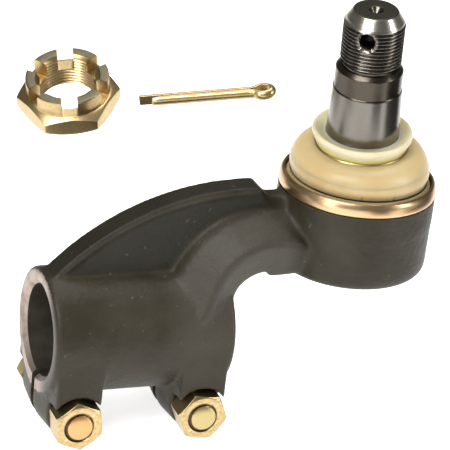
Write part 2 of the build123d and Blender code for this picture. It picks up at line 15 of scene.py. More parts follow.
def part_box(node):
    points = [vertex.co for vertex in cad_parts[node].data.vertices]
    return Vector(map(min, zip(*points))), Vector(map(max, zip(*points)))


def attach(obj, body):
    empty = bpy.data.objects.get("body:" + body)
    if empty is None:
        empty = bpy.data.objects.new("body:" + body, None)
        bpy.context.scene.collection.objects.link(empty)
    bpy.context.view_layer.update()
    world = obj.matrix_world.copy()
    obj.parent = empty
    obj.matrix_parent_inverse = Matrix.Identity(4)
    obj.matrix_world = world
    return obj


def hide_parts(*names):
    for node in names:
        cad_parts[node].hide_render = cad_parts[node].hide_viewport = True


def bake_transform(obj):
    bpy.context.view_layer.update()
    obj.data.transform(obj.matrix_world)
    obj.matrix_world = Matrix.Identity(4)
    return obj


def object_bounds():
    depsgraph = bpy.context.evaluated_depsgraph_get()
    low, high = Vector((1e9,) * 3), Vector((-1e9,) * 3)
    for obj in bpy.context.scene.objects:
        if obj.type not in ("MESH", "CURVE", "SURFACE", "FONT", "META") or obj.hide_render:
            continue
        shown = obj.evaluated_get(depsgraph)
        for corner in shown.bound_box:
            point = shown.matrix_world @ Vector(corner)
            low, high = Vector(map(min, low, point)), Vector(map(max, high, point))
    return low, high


bl_info = {
    "name": "Tie Rod End",
    "version": (1, 0, 0),
    "blender": (4, 5, 0),
    "location": "3D View > Sidebar > Tie Rod End",
    "description": "Builds the visible pieces of a tie rod end round its packed frame",
    "category": "Add Mesh",
}

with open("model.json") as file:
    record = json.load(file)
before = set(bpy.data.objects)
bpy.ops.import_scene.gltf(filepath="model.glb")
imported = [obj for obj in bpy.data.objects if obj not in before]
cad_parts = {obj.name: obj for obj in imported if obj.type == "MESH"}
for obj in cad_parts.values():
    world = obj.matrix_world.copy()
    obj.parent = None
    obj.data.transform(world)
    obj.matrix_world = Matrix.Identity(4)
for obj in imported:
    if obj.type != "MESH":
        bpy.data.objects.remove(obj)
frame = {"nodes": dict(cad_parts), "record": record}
cad_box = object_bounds()
record = frame["record"]
MM = 0.001
TURN = 2 * pi


# ---- what the frame says -----------------------------------------------------------------------


def box_mm(node):
    """Lowest and highest corner of a CAD node, in millimetres."""
    low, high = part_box(node)
    return Vector(low) / MM, Vector(high) / MM


def housing_bottom():
    """Underside of the ball housing: the circlip lies in a groove a millimetre above it."""
    return box_mm("cover_circlip")[0].z - 1.0


def joint(name):
    """The record's joint of that name."""
    return next(entry for entry in record["behaviour"]["joints"] if entry["name"] == name)


def mount(name):
    """The record's mount of that name."""
    return next(entry for entry in record["mounts"] if entry["name"] == name)


def upright_frame(axis, front, place=(0, 0, 0)):
    """Matrix in metres whose Z is the axis and whose -Y is nearest to front, from a place in millimetres."""
    up = Vector(axis).normalized()
    back = -(Vector(front) - up * up.dot(Vector(front))).normalized()
    side = back.cross(up)
    turn = Matrix((side, back, up)).transposed().to_4x4()
    return Matrix.Translation(Vector(place) * MM) @ turn


STUD_AXIS = Vector(joint("stud_spin")["axis"])
STUD = upright_frame(STUD_AXIS, mount("stud_cross_hole")["axis"])
TUBE = Vector(mount("tube_clamp")["pos_m"]) / MM
TUBE_BORE = mount("tube_clamp")["dims"]["r_mm"]
THREAD_OUTSIDE = mount("stud_thread")["dims"]["r_mm"]
CASTLE_CORE = mount("castle_nut_thread")["dims"]["r_mm"]
BOOT_MARKS = (radians(-110), radians(-82))
BOOT_MARK_HEIGHT = 15.8
# where the arm's thick lower part meets its web, as (x, z) in millimetres
VALLEY = ((-30, 3.0), (-42, 3.0), (-55.5, 0.5), (-65.5, -6.0), (-73.0, -16.0), (-79.0, -27.0))


# ---- sizes and colours a user may change -------------------------------------------------------


def length(name, description, default):
    """A length in millimetres."""
    return bpy.props.FloatProperty(name=name, description=description, default=default, min=0.0, precision=2)


def colour(name, description, default):
    """A colour."""
    return bpy.props.FloatVectorProperty(
        name=name, description=description, default=default, subtype="COLOR", size=3, min=0.0, max=1.0
    )


class BodySizes(bpy.types.PropertyGroup):
    """Sizes of the forging's skin and of its machined places, in millimetres."""

    skin: length("Skin grid", "Size of the squares in the forging's skin", 0.75)
    valley_softness: bpy.props.IntProperty(
        name="Valley softness", description="How far the arm's lower part melts into its web", default=70,
        min=0,
    )
    softness: bpy.props.IntProperty(
        name="Softness", description="How far the forging's corners are rounded", default=16, min=0
    )
    housing_radius: length("Housing radius", "Outside of the ball housing at its shoulder", 31.2)
    neck_radius: length("Neck radius", "Turned neck inside the boot", 27.4)
    neck_top: length("Neck top", "Top of the turned neck above the ball's centre", 15.0)
    throat_radius: length("Throat radius", "Opening that the stud swings in", 16.0)
    flare_radius: length("Flare radius", "Mouth of the throat", 21.0)
    mouth_chamfer: length("Mouth chamfer", "Chamfer at the tube's mouths", 1.9)
    slot_width: length("Slot width", "Sawn slot through the tube's underside", 3.6)
    lug_seat: length("Lug seat", "From the slot's middle to the machined seats", 16.7)
    seat_radius: length("Seat radius", "Radius of the cutter that clears the seats", 10.99)
    bolt_hole_radius: length("Bolt hole radius", "Holes through the lugs", 6.5)


class StudSizes(bpy.types.PropertyGroup):
    """Sizes of the stud along its own axis from the ball's centre, in millimetres."""

    ball_radius: length("Ball radius", "Radius of the ball", 17.0)
    neck_radius: length("Neck radius", "Narrow neck above the ball", 10.5)
    neck_top: length("Neck top", "Where the neck starts to widen", 20.0)
    taper_start: length("Taper start", "Where the tapered seat begins", 26.0)
    taper_radius: length("Taper radius", "Radius of the taper at its start", 14.7)
    taper_ratio: length("Taper ratio", "Length that changes the diameter by one", 12.0)
    taper_top: length("Taper top", "Where the taper ends", 54.3)
    band_height: length("Band height", "Plain band between the taper and the thread", 8.5)
    band_step: length("Band step", "How far the band stands below the taper", 0.35)
    band_chamfer: length("Band chamfer", "Chamfer on top of the band", 1.6)
    thread_pitch: length("Thread pitch", "Pitch of the stud's thread", 1.5)
    thread_depth: length("Thread depth", "Depth of the stud's thread", 0.8)
    top: length("Top", "Top of the stud", 87.7)
    top_radius: length("Top radius", "Flat top inside its chamfer", 8.6)
    top_chamfer: length("Top chamfer", "Height of the top chamfer", 5.0)
    hole_radius: length("Hole radius", "Cross hole for the split pin", 3.0)
    hole_below_top: length("Hole below top", "Cross hole below the stud's top", 9.0)


class BootSizes(bpy.types.PropertyGroup):
    """Sizes of the dust boot and its rings, in millimetres."""

    bulge_radius: length("Bulge radius", "Widest part of the boot", 27.6)
    neck_radius: length("Neck radius", "The boot where its lip ring starts", 17.0)
    wall: length("Wall", "Thickness of the boot", 1.6)
    seam: length("Seam", "Where the boot's two stretches meet", 22.0)
    fold_start: length("Fold start", "Where the boot starts to follow the stud", 15.0)
    lip_radius: length("Lip radius", "Widest part of the lip ring", 19.8)
    lip_foot_radius: length("Lip foot radius", "Foot of the lip ring", 18.0)
    lip_bottom: length("Lip bottom", "Foot of the lip ring along the stud", 29.6)
    lip_top: length("Lip top", "Top of the lip ring along the stud", 35.6)


class FastenerSizes(bpy.types.PropertyGroup):
    """Sizes of the clamp bolts, the slotted nut and the split pin, in millimetres."""

    bolt_radius: length("Bolt radius", "Radius of the clamp bolts", 6.0)
    bolt_pitch: length("Bolt pitch", "Pitch of the clamp bolts' thread", 1.75)
    bolt_thread: length("Bolt thread", "Threaded length of the clamp bolts", 22.0)
    bolt_flats: length("Bolt flats", "Width across flats of the clamp bolts and nuts", 18.0)
    head_height: length("Head height", "Height of the bolt heads", 7.5)
    castle_flats: length("Slotted nut flats", "Width across flats of the slotted nut", 36.0)
    castle_height: length("Slotted nut height", "Whole height of the slotted nut", 15.5)
    castle_hex: length("Slotted nut hexagon", "Height of its hexagon", 8.4)
    castle_crown: length("Crown radius", "Radius of its crown", 16.6)
    slot_width: length("Slot width", "Width of its slots", 6.2)
    slot_depth: length("Slot depth", "Depth of its slots", 6.8)
    pin_radius: length("Pin radius", "Radius of the split pin's legs", 2.3)
    pin_gap: length("Pin gap", "Gap between its legs", 0.15)
    pin_legs: length("Pin legs", "Length of its longer leg", 45.0)
    pin_step: length("Pin step", "How much shorter its other leg is", 5.0)
    eye_length: length("Eye length", "Inside length of its eye", 7.4)
    eye_half_width: length("Eye half width", "Inside half width of its eye", 1.9)


class Colours(bpy.types.PropertyGroup):
    """Base colours of the finishes."""

    forging: colour("Forging", "Black-oiled forging", (0.022, 0.0175, 0.0095))
    forging_worn: colour("Forging, worn", "Its edges and high spots", (0.085, 0.078, 0.06))
    machined: colour("Machined", "Bare machined faces", (0.36, 0.29, 0.25))
    steel_bright: colour("Bright steel", "Its freshly cut chamfers", (0.46, 0.43, 0.385))
    zinc: colour("Yellow zinc", "Plated fasteners", (0.56, 0.41, 0.20))
    zinc_pink: colour("Pink zinc", "Pink tint in the plating", (0.58, 0.36, 0.22))
    zinc_green: colour("Green zinc", "Green tint in the plating", (0.42, 0.40, 0.19))
    boot: colour("Boot", "Amber boot", (0.50, 0.31, 0.125))
    # Also the painted light on the boot's upper part, besides its random paler clouding.
    boot_pale: colour("Boot, pale", "Thin parts of the boot", (0.66, 0.50, 0.29))
    lip: colour("Lip ring", "Pale lip ring", (0.56, 0.51, 0.35))


class StageSizes(bpy.types.PropertyGroup):
    """Camera, floor and lights."""

    azimuth: bpy.props.FloatProperty(
        name="Azimuth", description="Camera's turn round the part", default=radians(23.207), subtype="ANGLE"
    )
    elevation: bpy.props.FloatProperty(
        name="Elevation", description="Camera's height above the horizon", default=radians(24.926),
        subtype="ANGLE",
    )
    roll: bpy.props.FloatProperty(
        name="Roll", description="Camera's tilt", default=radians(6.852), subtype="ANGLE"
    )
    distance: bpy.props.FloatProperty(
        name="Distance", description="Camera to the aim point", default=1.265355, unit="LENGTH"
    )
    aim: bpy.props.FloatVectorProperty(
        name="Aim", description="Point that the camera faces", default=(-0.047918, 0.014370, -0.012211),
        size=3, subtype="TRANSLATION",
    )
    lens: bpy.props.FloatProperty(name="Lens", description="Focal length in millimetres", default=256.0)
    floor_gap: bpy.props.FloatProperty(
        name="Floor gap", description="Floor below the part", default=0.0005, unit="LENGTH"
    )
    floor_reach: bpy.props.FloatProperty(
        name="Floor reach", description="From the middle of the floor to its sides", default=40.0,
        unit="LENGTH",
    )
    card_reach: bpy.props.FloatProperty(
        name="Card reach", description="Dark cards' distance from the aim point", default=0.30, unit="LENGTH"
    )
    card_top: bpy.props.FloatProperty(
        name="Card top", description="Dark cards' top edge", default=0.06, unit="LENGTH"
    )


class TieRodEnd(bpy.types.PropertyGroup):
    """Everything a user would change."""

    body: bpy.props.PointerProperty(type=BodySizes)
    stud: bpy.props.PointerProperty(type=StudSizes)
    boot: bpy.props.PointerProperty(type=BootSizes)
    fasteners: bpy.props.PointerProperty(type=FastenerSizes)
    colours: bpy.props.PointerProperty(type=Colours)
    stage: bpy.props.PointerProperty(type=StageSizes)


def wanted():
    """The sizes and colours as they stand."""
    return bpy.context.scene.tie_rod_end


# ---- shaders -----------------------------------------------------------------------------------


class Signal:
    """A shader socket that takes part in arithmetic."""

    def __init__(self, finish, socket):
        self.finish = finish
        self.socket = socket

    def combine(self, operation, first, second):
        return self.finish.node("ShaderNodeMath", {"operation": operation}, {0: first, 1: second})

    def __add__(self, other):
        return self.combine("ADD", self, other)

    def __radd__(self, other):
        return self.combine("ADD", other, self)

    def __sub__(self, other):
        return self.combine("SUBTRACT", self, other)

    def __rsub__(self, other):
        return self.combine("SUBTRACT", other, self)

    def __mul__(self, other):
        return self.combine("MULTIPLY", self, other)

    def __rmul__(self, other):
        return self.combine("MULTIPLY", other, self)

    def __truediv__(self, other):
        return self.combine("DIVIDE", self, other)

    def __pow__(self, other):
        return self.combine("POWER", self, other)


class Finish:
    """One material, built node by node."""

    def __init__(self, name, **constants):
        self.material = bpy.data.materials.new(name)
        self.material.use_nodes = True
        self.tree = self.material.node_tree
        self.tree.nodes.clear()
        self.output = self.tree.nodes.new("ShaderNodeOutputMaterial")
        self.surface = self.tree.nodes.new("ShaderNodeBsdfPrincipled")
        self.tree.links.new(self.surface.outputs[0], self.output.inputs[0])
        for socket, value in constants.items():
            self.surface.inputs[socket.replace("_", " ")].default_value = value

    def feed(self, socket, value):
        """Sets a socket's value, or links a signal to it."""
        if isinstance(value, Signal):
            self.tree.links.new(value.socket, socket)
        elif isinstance(value, tuple) and len(value) == 3 and socket.type == "RGBA":
            socket.default_value = (*value, 1.0)
        else:
            socket.default_value = value

    def node(self, kind, settings, sockets, output=0):
        """Adds a node, with its settings set before its sockets, and returns one of its outputs."""
        made = self.tree.nodes.new(kind)
        for name, value in settings.items():
            if name == "stops":
                self.set_stops(made.color_ramp, value)
            else:
                setattr(made, name, value)
        for name, value in sockets.items():
            self.feed(made.inputs[name], value)
        return Signal(self, made.outputs[output])

    def set_stops(self, ramp, stops):
        """Gives a ramp its (position, colour) stops."""
        while len(ramp.elements) > 1:
            ramp.elements.remove(ramp.elements[-1])
        ramp.elements[0].position = stops[0][0]
        ramp.elements[0].color = (*stops[0][1], 1.0)
        for position, shade in stops[1:]:
            ramp.elements.new(position).color = (*shade, 1.0)

    def place(self):
        """Place on the piece, in its own frame, in metres."""
        return self.node("ShaderNodeTexCoord", {}, {}, "Object")

    def axes(self, place):
        """The three parts of a place."""
        split = self.tree.nodes.new("ShaderNodeSeparateXYZ")
        self.feed(split.inputs[0], place)
        return [Signal(self, socket) for socket in split.outputs]

    def stretched(self, place, scale):
        """The place scaled differently along its axes."""
        return self.node("ShaderNodeVectorMath", {"operation": "MULTIPLY"}, {0: place, 1: scale})

    def distance(self, value, middle):
        """How far a value is from a middle one."""
        return self.node("ShaderNodeMath", {"operation": "ABSOLUTE"}, {0: value - middle})

    def noise(self, place, scale, detail=3.0, roughness=0.55):
        """Cloudy pattern from 0 to 1."""
        sockets = {"Vector": place, "Scale": scale, "Detail": detail, "Roughness": roughness}
        return self.node("ShaderNodeTexNoise", {}, sockets)

    def between(self, value, low, high, smooth=True):
        """0 below low, 1 above high."""
        settings = {"interpolation_type": "SMOOTHSTEP" if smooth else "LINEAR"}
        return self.node("ShaderNodeMapRange", settings, {"Value": value, "From Min": low, "From Max": high})

    def mix(self, share, first, second):
        """Colour between the first and the second."""
        return self.node("ShaderNodeMix", {"data_type": "RGBA"}, {0: share, 6: first, 7: second}, 2)

    def bump(self, height, distance, strength=1.0, under=None):
        """A normal that follows the height, in metres of distance."""
        sockets = {"Height": height, "Distance": distance, "Strength": strength}
        if under is not None:
            sockets["Normal"] = under
        return self.node("ShaderNodeBump", {}, sockets)

    def give(self, **inputs):
        """Links or sets the surface's own sockets and returns the material."""
        for socket, value in inputs.items():
            self.feed(self.surface.inputs[socket.replace("_", " ")], value)
        return self.material


def edge_share(finish, low, high):
    """1 on outside corners, 0 elsewhere."""
    pointed = finish.node("ShaderNodeNewGeometry", {}, {}, "Pointiness")
    return finish.between(pointed, low, high)


def forging_finish():
    """Black-oiled forging: mottled, slightly gritty, lighter where corners have rubbed, with painted shade
    darkening the recessed web and painted light on the lower beam's side.
    """
    shades = wanted().colours
    finish = Finish("forging", IOR=1.45, Specular_IOR_Level=0.3)
    place = finish.place()
    broad = finish.noise(place, 38.0, 4.0, 0.6)
    grit = finish.noise(place, 620.0, 4.0, 0.65)
    scale = finish.noise(place, 150.0, 5.0, 0.6)
    dark = finish.mix(finish.between(broad, 0.35, 0.7), tuple(shades.forging), (0.034, 0.028, 0.017))
    rubbed = edge_share(finish, 0.515, 0.60) * finish.between(scale, 0.3, 0.65)
    tone = finish.mix(rubbed * 0.7, dark, tuple(shades.forging_worn))
    across, deep, high = finish.axes(place)
    aside = finish.distance(deep, 0.0) + (broad - 0.5) * 0.0012
    # Painted shade: the recessed web above the tube is painted darker, as if in shadow.
    over_tube = finish.between(high, -0.024, -0.019) * (1 - finish.between(across, -0.038, -0.032))
    web_painted_shade = 1 - finish.between(aside, 0.0048, 0.0060)
    tone = finish.mix(over_tube * web_painted_shade * 0.75, tone, (0.010, 0.009, 0.0055))
    # Painted light: the side of the arm's lower beam is painted lighter, as if lit from the front.
    on_beam = finish.between(across, -0.086, -0.072) * (1 - finish.between(across, -0.036, -0.028))
    low_enough = 1 - finish.between(high, 0.0, 0.006)
    rise = on_beam * low_enough * finish.between(high, -0.052, -0.036)
    tone = finish.mix(rise * finish.between(aside, 0.0065, 0.0115) * 0.5, tone, (0.060, 0.054, 0.042))
    specks = finish.between(finish.noise(place, 330.0, 2.0, 0.5), 0.70, 0.76)
    tone = finish.mix(specks * 0.5, tone, tuple(shades.forging_worn))
    shallow = finish.bump(scale, 0.0012, 0.5)
    return finish.give(
        Base_Color=tone,
        Roughness=0.36 + broad * 0.14 + grit * 0.08,
        Normal=finish.bump(grit, 0.00022, 0.5, shallow),
    )


def machined_finish():
    """Bare faced steel with a pink cast and turning marks round the tube's axis."""
    shades = wanted().colours
    finish = Finish("bare_machined", Metallic=0.85, IOR=1.5)
    place = finish.place()
    deep, high = finish.axes(place)[1:]
    above = high - TUBE.z * MM
    out = (deep * deep + above * above) ** 0.5
    rings = finish.noise(finish.node("ShaderNodeCombineXYZ", {}, {0: out, 1: 0.0, 2: 0.0}), 3000.0, 2.0)
    stain = finish.noise(place, 120.0, 4.0)
    clean = finish.mix(finish.between(stain, 0.42, 0.72), tuple(shades.machined), (0.20, 0.155, 0.125))
    # Darker towards the front (-Y), cleaner towards the back.
    clean_towards_back = finish.between(deep + (stain - 0.5) * 0.008, -0.0165, -0.004)
    tone = finish.mix(clean_towards_back, (0.060, 0.050, 0.038), clean)
    return finish.give(
        Base_Color=tone, Roughness=0.36 + stain * 0.16, Normal=finish.bump(rings, 0.00008, 0.5)
    )


def bore_finish():
    """Threaded bore painted nearly black: painted shade for the shadow inside it, glossy like oiled steel."""
    finish = Finish("oily_bore", IOR=1.5, Metallic=0.6)
    place = finish.place()
    stain = finish.noise(place, 160.0, 4.0)
    # Painted shade: near-black colour for the shadow inside the bore.
    tone = finish.mix(stain, (0.035, 0.030, 0.024), (0.085, 0.072, 0.055))
    return finish.give(Base_Color=tone, Roughness=0.38 + stain * 0.2, Normal=finish.bump(stain, 0.0002, 0.4))


def stud_finish():
    """Dark oiled steel with fine turning lines, cut bright on its chamfers."""
    shades = wanted().colours
    sizes = wanted().stud
    finish = Finish("oiled_steel", Metallic=1.0)
    place = finish.place()
    across, deep, high = finish.axes(place)
    lines = finish.noise(finish.stretched(place, (3.0, 3.0, 260.0)), 14.0, 3.0, 0.6)
    oil = finish.noise(finish.stretched(place, (1.0, 1.0, 0.35)), 95.0, 4.0, 0.6)
    thread_start = (sizes.taper_top + sizes.band_height + 2.5) * MM
    chamfer_start = (sizes.top - sizes.top_chamfer) * MM
    band = (sizes.taper_top - 0.6) * MM
    threaded = finish.between(high, thread_start, thread_start + 0.0004)
    above_taper = finish.between(high, band, band + 0.0004)
    out = (across * across + deep * deep) ** 0.5
    rise = high - (sizes.top - sizes.hole_below_top) * MM
    from_hole = (across * across + rise * rise) ** 0.5
    hole = sizes.hole_radius * MM
    past_sink = finish.between(from_hole, hole + 0.0013, hole + 0.0016)
    sunk = finish.between(from_hole, hole, hole + 0.0002) * (1 - past_sink)
    in_chamfer = finish.between(high, chamfer_start, chamfer_start + 0.0003)
    on_top = finish.between(high, sizes.top * MM - 0.0004, sizes.top * MM - 0.0001)
    ground = finish.mix(oil, (0.215, 0.20, 0.18), (0.13, 0.118, 0.10))
    banded = finish.mix(above_taper, ground, (0.075, 0.063, 0.050))
    dark = finish.mix(threaded, banded, (0.125, 0.112, 0.095))
    outside = finish.between(out, 0.0065, 0.0070)
    cut = finish.mix(in_chamfer * outside + sunk * 0.8, dark, tuple(shades.steel_bright))
    tone = finish.mix(on_top, cut, (0.065, 0.058, 0.045))
    return finish.give(
        Base_Color=tone,
        Roughness=0.17 + oil * 0.16 + on_top * 0.2,
        Normal=finish.bump(lines, 0.00006, 0.35),
    )


def zinc_finish(name, dirt_and_shade=0.35, tint=0.5):
    """Yellow chromated zinc: gold with drifting pink and green, a little orange-peeled, with random grime and
    painted shade in its hollows.
    """
    shades = wanted().colours
    finish = Finish(name, Metallic=1.0)
    place = finish.place()
    drift = finish.noise(place, 140.0, 3.0, 0.5)
    second = finish.noise(finish.stretched(place, (1.0, 1.3, 0.8)), 210.0, 3.0, 0.5)
    fine = finish.noise(place, 900.0, 4.0, 0.6)
    warm = finish.mix(finish.between(drift, 0.4, 0.75) * tint, tuple(shades.zinc), tuple(shades.zinc_pink))
    tone = finish.mix(finish.between(second, 0.45, 0.75) * tint, warm, tuple(shades.zinc_green))
    pointed = finish.node("ShaderNodeNewGeometry", {}, {}, "Pointiness")
    # Random grime, plus painted shade that darkens the hollows and inside corners.
    grime_and_hollow_shade = finish.between(fine, 0.3, 0.8) * dirt_and_shade + (1 - finish.between(pointed, 0.42, 0.50)) * dirt_and_shade
    rubbed = finish.mix(finish.between(pointed, 0.53, 0.62) * 0.6, tone, (0.78, 0.66, 0.46))
    # The final colour holds the painted shade of the hollows as well as the wear.
    worn = finish.mix(grime_and_hollow_shade, rubbed, (0.21, 0.165, 0.085))
    return finish.give(
        Base_Color=worn, Roughness=0.24 + fine * 0.16, Normal=finish.bump(fine, 0.00012, 0.35)
    )


def bolt_finish(name, end_tone):
    """Plated bolt whose sawn end is stained by the plating, with its thread painted near-black round it as
    painted shade of the gap by the nut.
    """
    shades = wanted().colours
    sizes = wanted().fasteners
    finish = Finish(name, Metallic=0.9)
    place = finish.place()
    across, deep, high = finish.axes(place)
    drift = finish.noise(place, 260.0, 4.0, 0.6)
    out = (across * across + deep * deep) ** 0.5
    rim = (sizes.bolt_radius - 1.15) * MM
    stained = finish.mix(drift * 0.5, end_tone, tuple(shades.zinc))
    # Painted shade: the thread round the sawn end is painted near-black for the shadow in the gap between
    # bolt and nut.
    end = finish.mix(finish.between(out, rim, rim + 0.0003), stained, (0.055, 0.042, 0.024))
    head = finish.mix(drift * 0.4, tuple(shades.zinc), tuple(shades.zinc_green))
    tone = finish.mix(finish.between(high, -0.001, 0.0), end, head)
    return finish.give(
        Base_Color=tone, Roughness=0.30 + drift * 0.14, Normal=finish.bump(drift, 0.0002, 0.4)
    )


def ring_finish():
    """The retaining band's plating, with pink and green running round it in bands, and painted shade
    darkening its top where the boot goes in.
    """
    shades = wanted().colours
    finish = Finish("ring_zinc", Metallic=1.0)
    place = finish.place()
    high = finish.axes(place)[2]
    low, top = box_mm("boot_retaining_ring")
    up = (high - low.z * MM) / ((top.z - low.z) * MM)
    wander = finish.noise(place, 60.0, 3.0)
    # The ramp's last, dark stop is painted shade at the band's top, where the boot goes in.
    banded = finish.node(
        "ShaderNodeValToRGB",
        {"stops": [
            (0.0, (0.46, 0.33, 0.15)), (0.20, (0.68, 0.46, 0.24)), (0.42, (0.62, 0.36, 0.27)),
            (0.60, (0.56, 0.47, 0.20)), (0.80, (0.62, 0.38, 0.26)), (1.0, (0.26, 0.20, 0.10)),
        ]},
        {0: up + (wander - 0.5) * 0.55},
    )
    fine = finish.noise(place, 800.0, 3.0)
    tone = finish.mix(0.25, banded, tuple(shades.zinc))
    return finish.give(
        Base_Color=tone, Roughness=0.24 + fine * 0.14, Normal=finish.bump(fine, 0.00008, 0.3)
    )


def boot_finish():
    """Translucent amber polyurethane, faintly cloudy, with painted light making it paler towards its top."""
    shades = wanted().colours
    finish = Finish(
        "boot_rubber",
        Subsurface_Weight=0.65, Subsurface_Radius=(0.012, 0.0075, 0.0035), Subsurface_Scale=1.0,
        Sheen_Weight=0.35, Sheen_Roughness=0.4, IOR=1.48, Coat_Weight=0.12, Coat_Roughness=0.25,
    )
    finish.surface.inputs["Sheen Tint"].default_value = (1.0, 0.93, 0.78, 1.0)
    place = finish.place()
    across, deep, high = finish.axes(place)
    cloud = finish.noise(place, 55.0, 4.0, 0.55)
    speck = finish.noise(place, 700.0, 3.0, 0.6)
    # Painted light: the boot turns paler towards its top, as if lit there.
    painted_light_towards_top = finish.between(high, 0.0145, 0.0275)
    tone = finish.mix(finish.between(cloud, 0.35, 0.75) * 0.45, tuple(shades.boot), tuple(shades.boot_pale))
    toned = finish.mix(painted_light_towards_top * 0.35, tone, tuple(shades.boot_pale))
    for middle in BOOT_MARKS:
        aside = finish.distance(deep * cos(middle) - across * sin(middle), 0.0)
        facing = finish.between(across * cos(middle) + deep * sin(middle), 0.020, 0.022)
        beyond = finish.between(finish.distance(high, BOOT_MARK_HEIGHT * MM), 0.0006, 0.0015)
        tick = (1 - finish.between(aside, 0.0001, 0.0006)) * (1 - beyond)
        toned = finish.mix(tick * facing * 0.55, toned, (0.16, 0.085, 0.030))
    return finish.give(
        Base_Color=toned, Roughness=0.36 + speck * 0.12, Normal=finish.bump(cloud, 0.0005, 0.2)
    )


def lip_finish():
    """Pale, waxy, greenish-white collar."""
    shades = wanted().colours
    finish = Finish(
        "lip_rubber", Subsurface_Weight=0.7, Subsurface_Radius=(0.008, 0.007, 0.005), Subsurface_Scale=1.0,
        IOR=1.48, Coat_Weight=0.15, Coat_Roughness=0.2,
    )
    place = finish.place()
    cloud = finish.noise(place, 90.0, 3.0)
    high = finish.axes(place)[2]
    waxy = finish.mix(finish.between(cloud, 0.4, 0.7), tuple(shades.lip), (0.47, 0.43, 0.27))
    tone = finish.mix(finish.between(high, 0.0303, 0.0318), (0.50, 0.49, 0.12), waxy)
    return finish.give(Base_Color=tone, Roughness=0.34 + cloud * 0.1, Normal=finish.bump(cloud, 0.0003, 0.2))


def plain_finish(name, first, second, scale, roughness, metallic=0.0):
    """Quiet two-tone finish for the pieces inside the joint."""
    finish = Finish(name, Metallic=metallic)
    place = finish.place()
    cloud = finish.noise(place, scale, 4.0)
    fine = finish.noise(place, scale * 9.0, 3.0)
    return finish.give(
        Base_Color=finish.mix(cloud, first, second),
        Roughness=roughness + fine * 0.15,
        Normal=finish.bump(fine, 0.0001, 0.4),
    )


def floor_finish():
    """Pale matt floor that glows a little, so that shadows stay faint."""
    finish = Finish("pale_floor", Roughness=0.9, Specular_IOR_Level=0.1, Emission_Strength=0.80)
    finish.surface.inputs["Emission Color"].default_value = (1.0, 1.0, 1.0, 1.0)
    cloud = finish.noise(finish.place(), 3.0, 2.0)
    return finish.give(Base_Color=finish.mix(cloud, (0.90, 0.90, 0.90), (0.93, 0.93, 0.93)))


def card_finish():
    """Matt black card that keeps the pale floor out of the steel's reflections."""
    finish = Finish("dark_card", Roughness=0.9, Specular_IOR_Level=0.1)
    cloud = finish.noise(finish.place(), 8.0, 2.0)
    return finish.give(Base_Color=finish.mix(cloud, (0.02, 0.02, 0.02), (0.03, 0.03, 0.03)))


FINISHES = {}


def finish_named(name):
    """The material of that name, made the first time it's asked for."""
    makers = {
        "forging": forging_finish,
        "bare_machined": machined_finish,
        "oily_bore": bore_finish,
        "oiled_steel": stud_finish,
        "bolt_end_left": lambda: bolt_finish("bolt_end_left", (0.62, 0.32, 0.13)),
        "bolt_end_right": lambda: bolt_finish("bolt_end_right", (0.46, 0.38, 0.17)),
        "nut_zinc": lambda: zinc_finish("nut_zinc", 0.6),
        "castle_zinc": lambda: zinc_finish("castle_zinc"),
        "worn_zinc": lambda: plain_finish(
            "worn_zinc", (0.20, 0.175, 0.115), (0.12, 0.105, 0.070), 260.0, 0.34, 1.0),
        "pin_zinc": lambda: zinc_finish("pin_zinc"),
        "wire_zinc": lambda: zinc_finish("wire_zinc"),
        "ring_zinc": ring_finish,
        "boot_rubber": boot_finish,
        "lip_rubber": lip_finish,
        "seat_plastic": lambda: plain_finish(
            "seat_plastic", (0.78, 0.75, 0.66), (0.70, 0.66, 0.56), 60.0, 0.4),
        "spring_steel": lambda: plain_finish(
            "spring_steel", (0.22, 0.215, 0.21), (0.12, 0.115, 0.11), 130.0, 0.3, 1.0),
        "cover_steel": lambda: plain_finish(
            "cover_steel", (0.36, 0.33, 0.28), (0.22, 0.20, 0.165), 90.0, 0.32, 1.0),
        "seal_rubber": lambda: plain_finish(
            "seal_rubber", (0.03, 0.03, 0.03), (0.05, 0.05, 0.05), 200.0, 0.6),
        "pale_floor": floor_finish,
        "dark_card": card_finish,
    }
    if name not in FINISHES:
        FINISHES[name] = makers[name]()
    return FINISHES[name]


# ---- shapes ------------------------------------------------------------------------------------


def new_piece(name, points, faces, place=None, sharp=40.0):
    """A mesh object from points in millimetres, shaded smooth except over sharp corners."""
    mesh = bpy.data.meshes.new(name)
    mesh.from_pydata([Vector(point) * MM for point in points], [], faces)
    piece = bpy.data.objects.new(name, mesh)
    bpy.context.scene.collection.objects.link(piece)
    if place is not None:
        piece.matrix_world = place
    tidy(piece, sharp)
    return piece


def tidy(piece, sharp=40.0):
    """Merges points that coincide, faces everything outwards and marks the sharp corners."""
    mesh = piece.data
    work = bmesh.new()
    work.from_mesh(mesh)
    bmesh.ops.remove_doubles(work, verts=work.verts, dist=0.004 * MM)
    bmesh.ops.dissolve_degenerate(work, edges=work.edges, dist=0.002 * MM)
    bmesh.ops.recalc_face_normals(work, faces=work.faces)
    work.to_mesh(mesh)
    work.free()
    shade(mesh, sharp)


def shade(mesh, sharp=40.0):
    """Smooth shading with sharp corners above an angle in degrees."""
    mesh.shade_smooth()
    mesh.set_sharp_from_angle(angle=radians(sharp))
    mesh.update()


def skin(name, columns, ring=True, loop=False, place=None, sharp=40.0):
    """Skin over columns of points. ring joins the last column to the first, loop closes each column."""
    rows = len(columns[0])
    points = [point for column in columns for point in column]
    faces = []
    for index in range(len(columns) if ring else len(columns) - 1):
        here = index * rows
        there = (index + 1) % len(columns) * rows
        for row in range(rows if loop else rows - 1):
            above = (row + 1) % rows
            faces.append((here + row, there + row, there + above, here + above))
    if not ring:
        faces.append(tuple(range(rows)))
        faces.append(tuple((len(columns) - 1) * rows + row for row in reversed(range(rows))))
    return new_piece(name, points, faces, place, sharp)


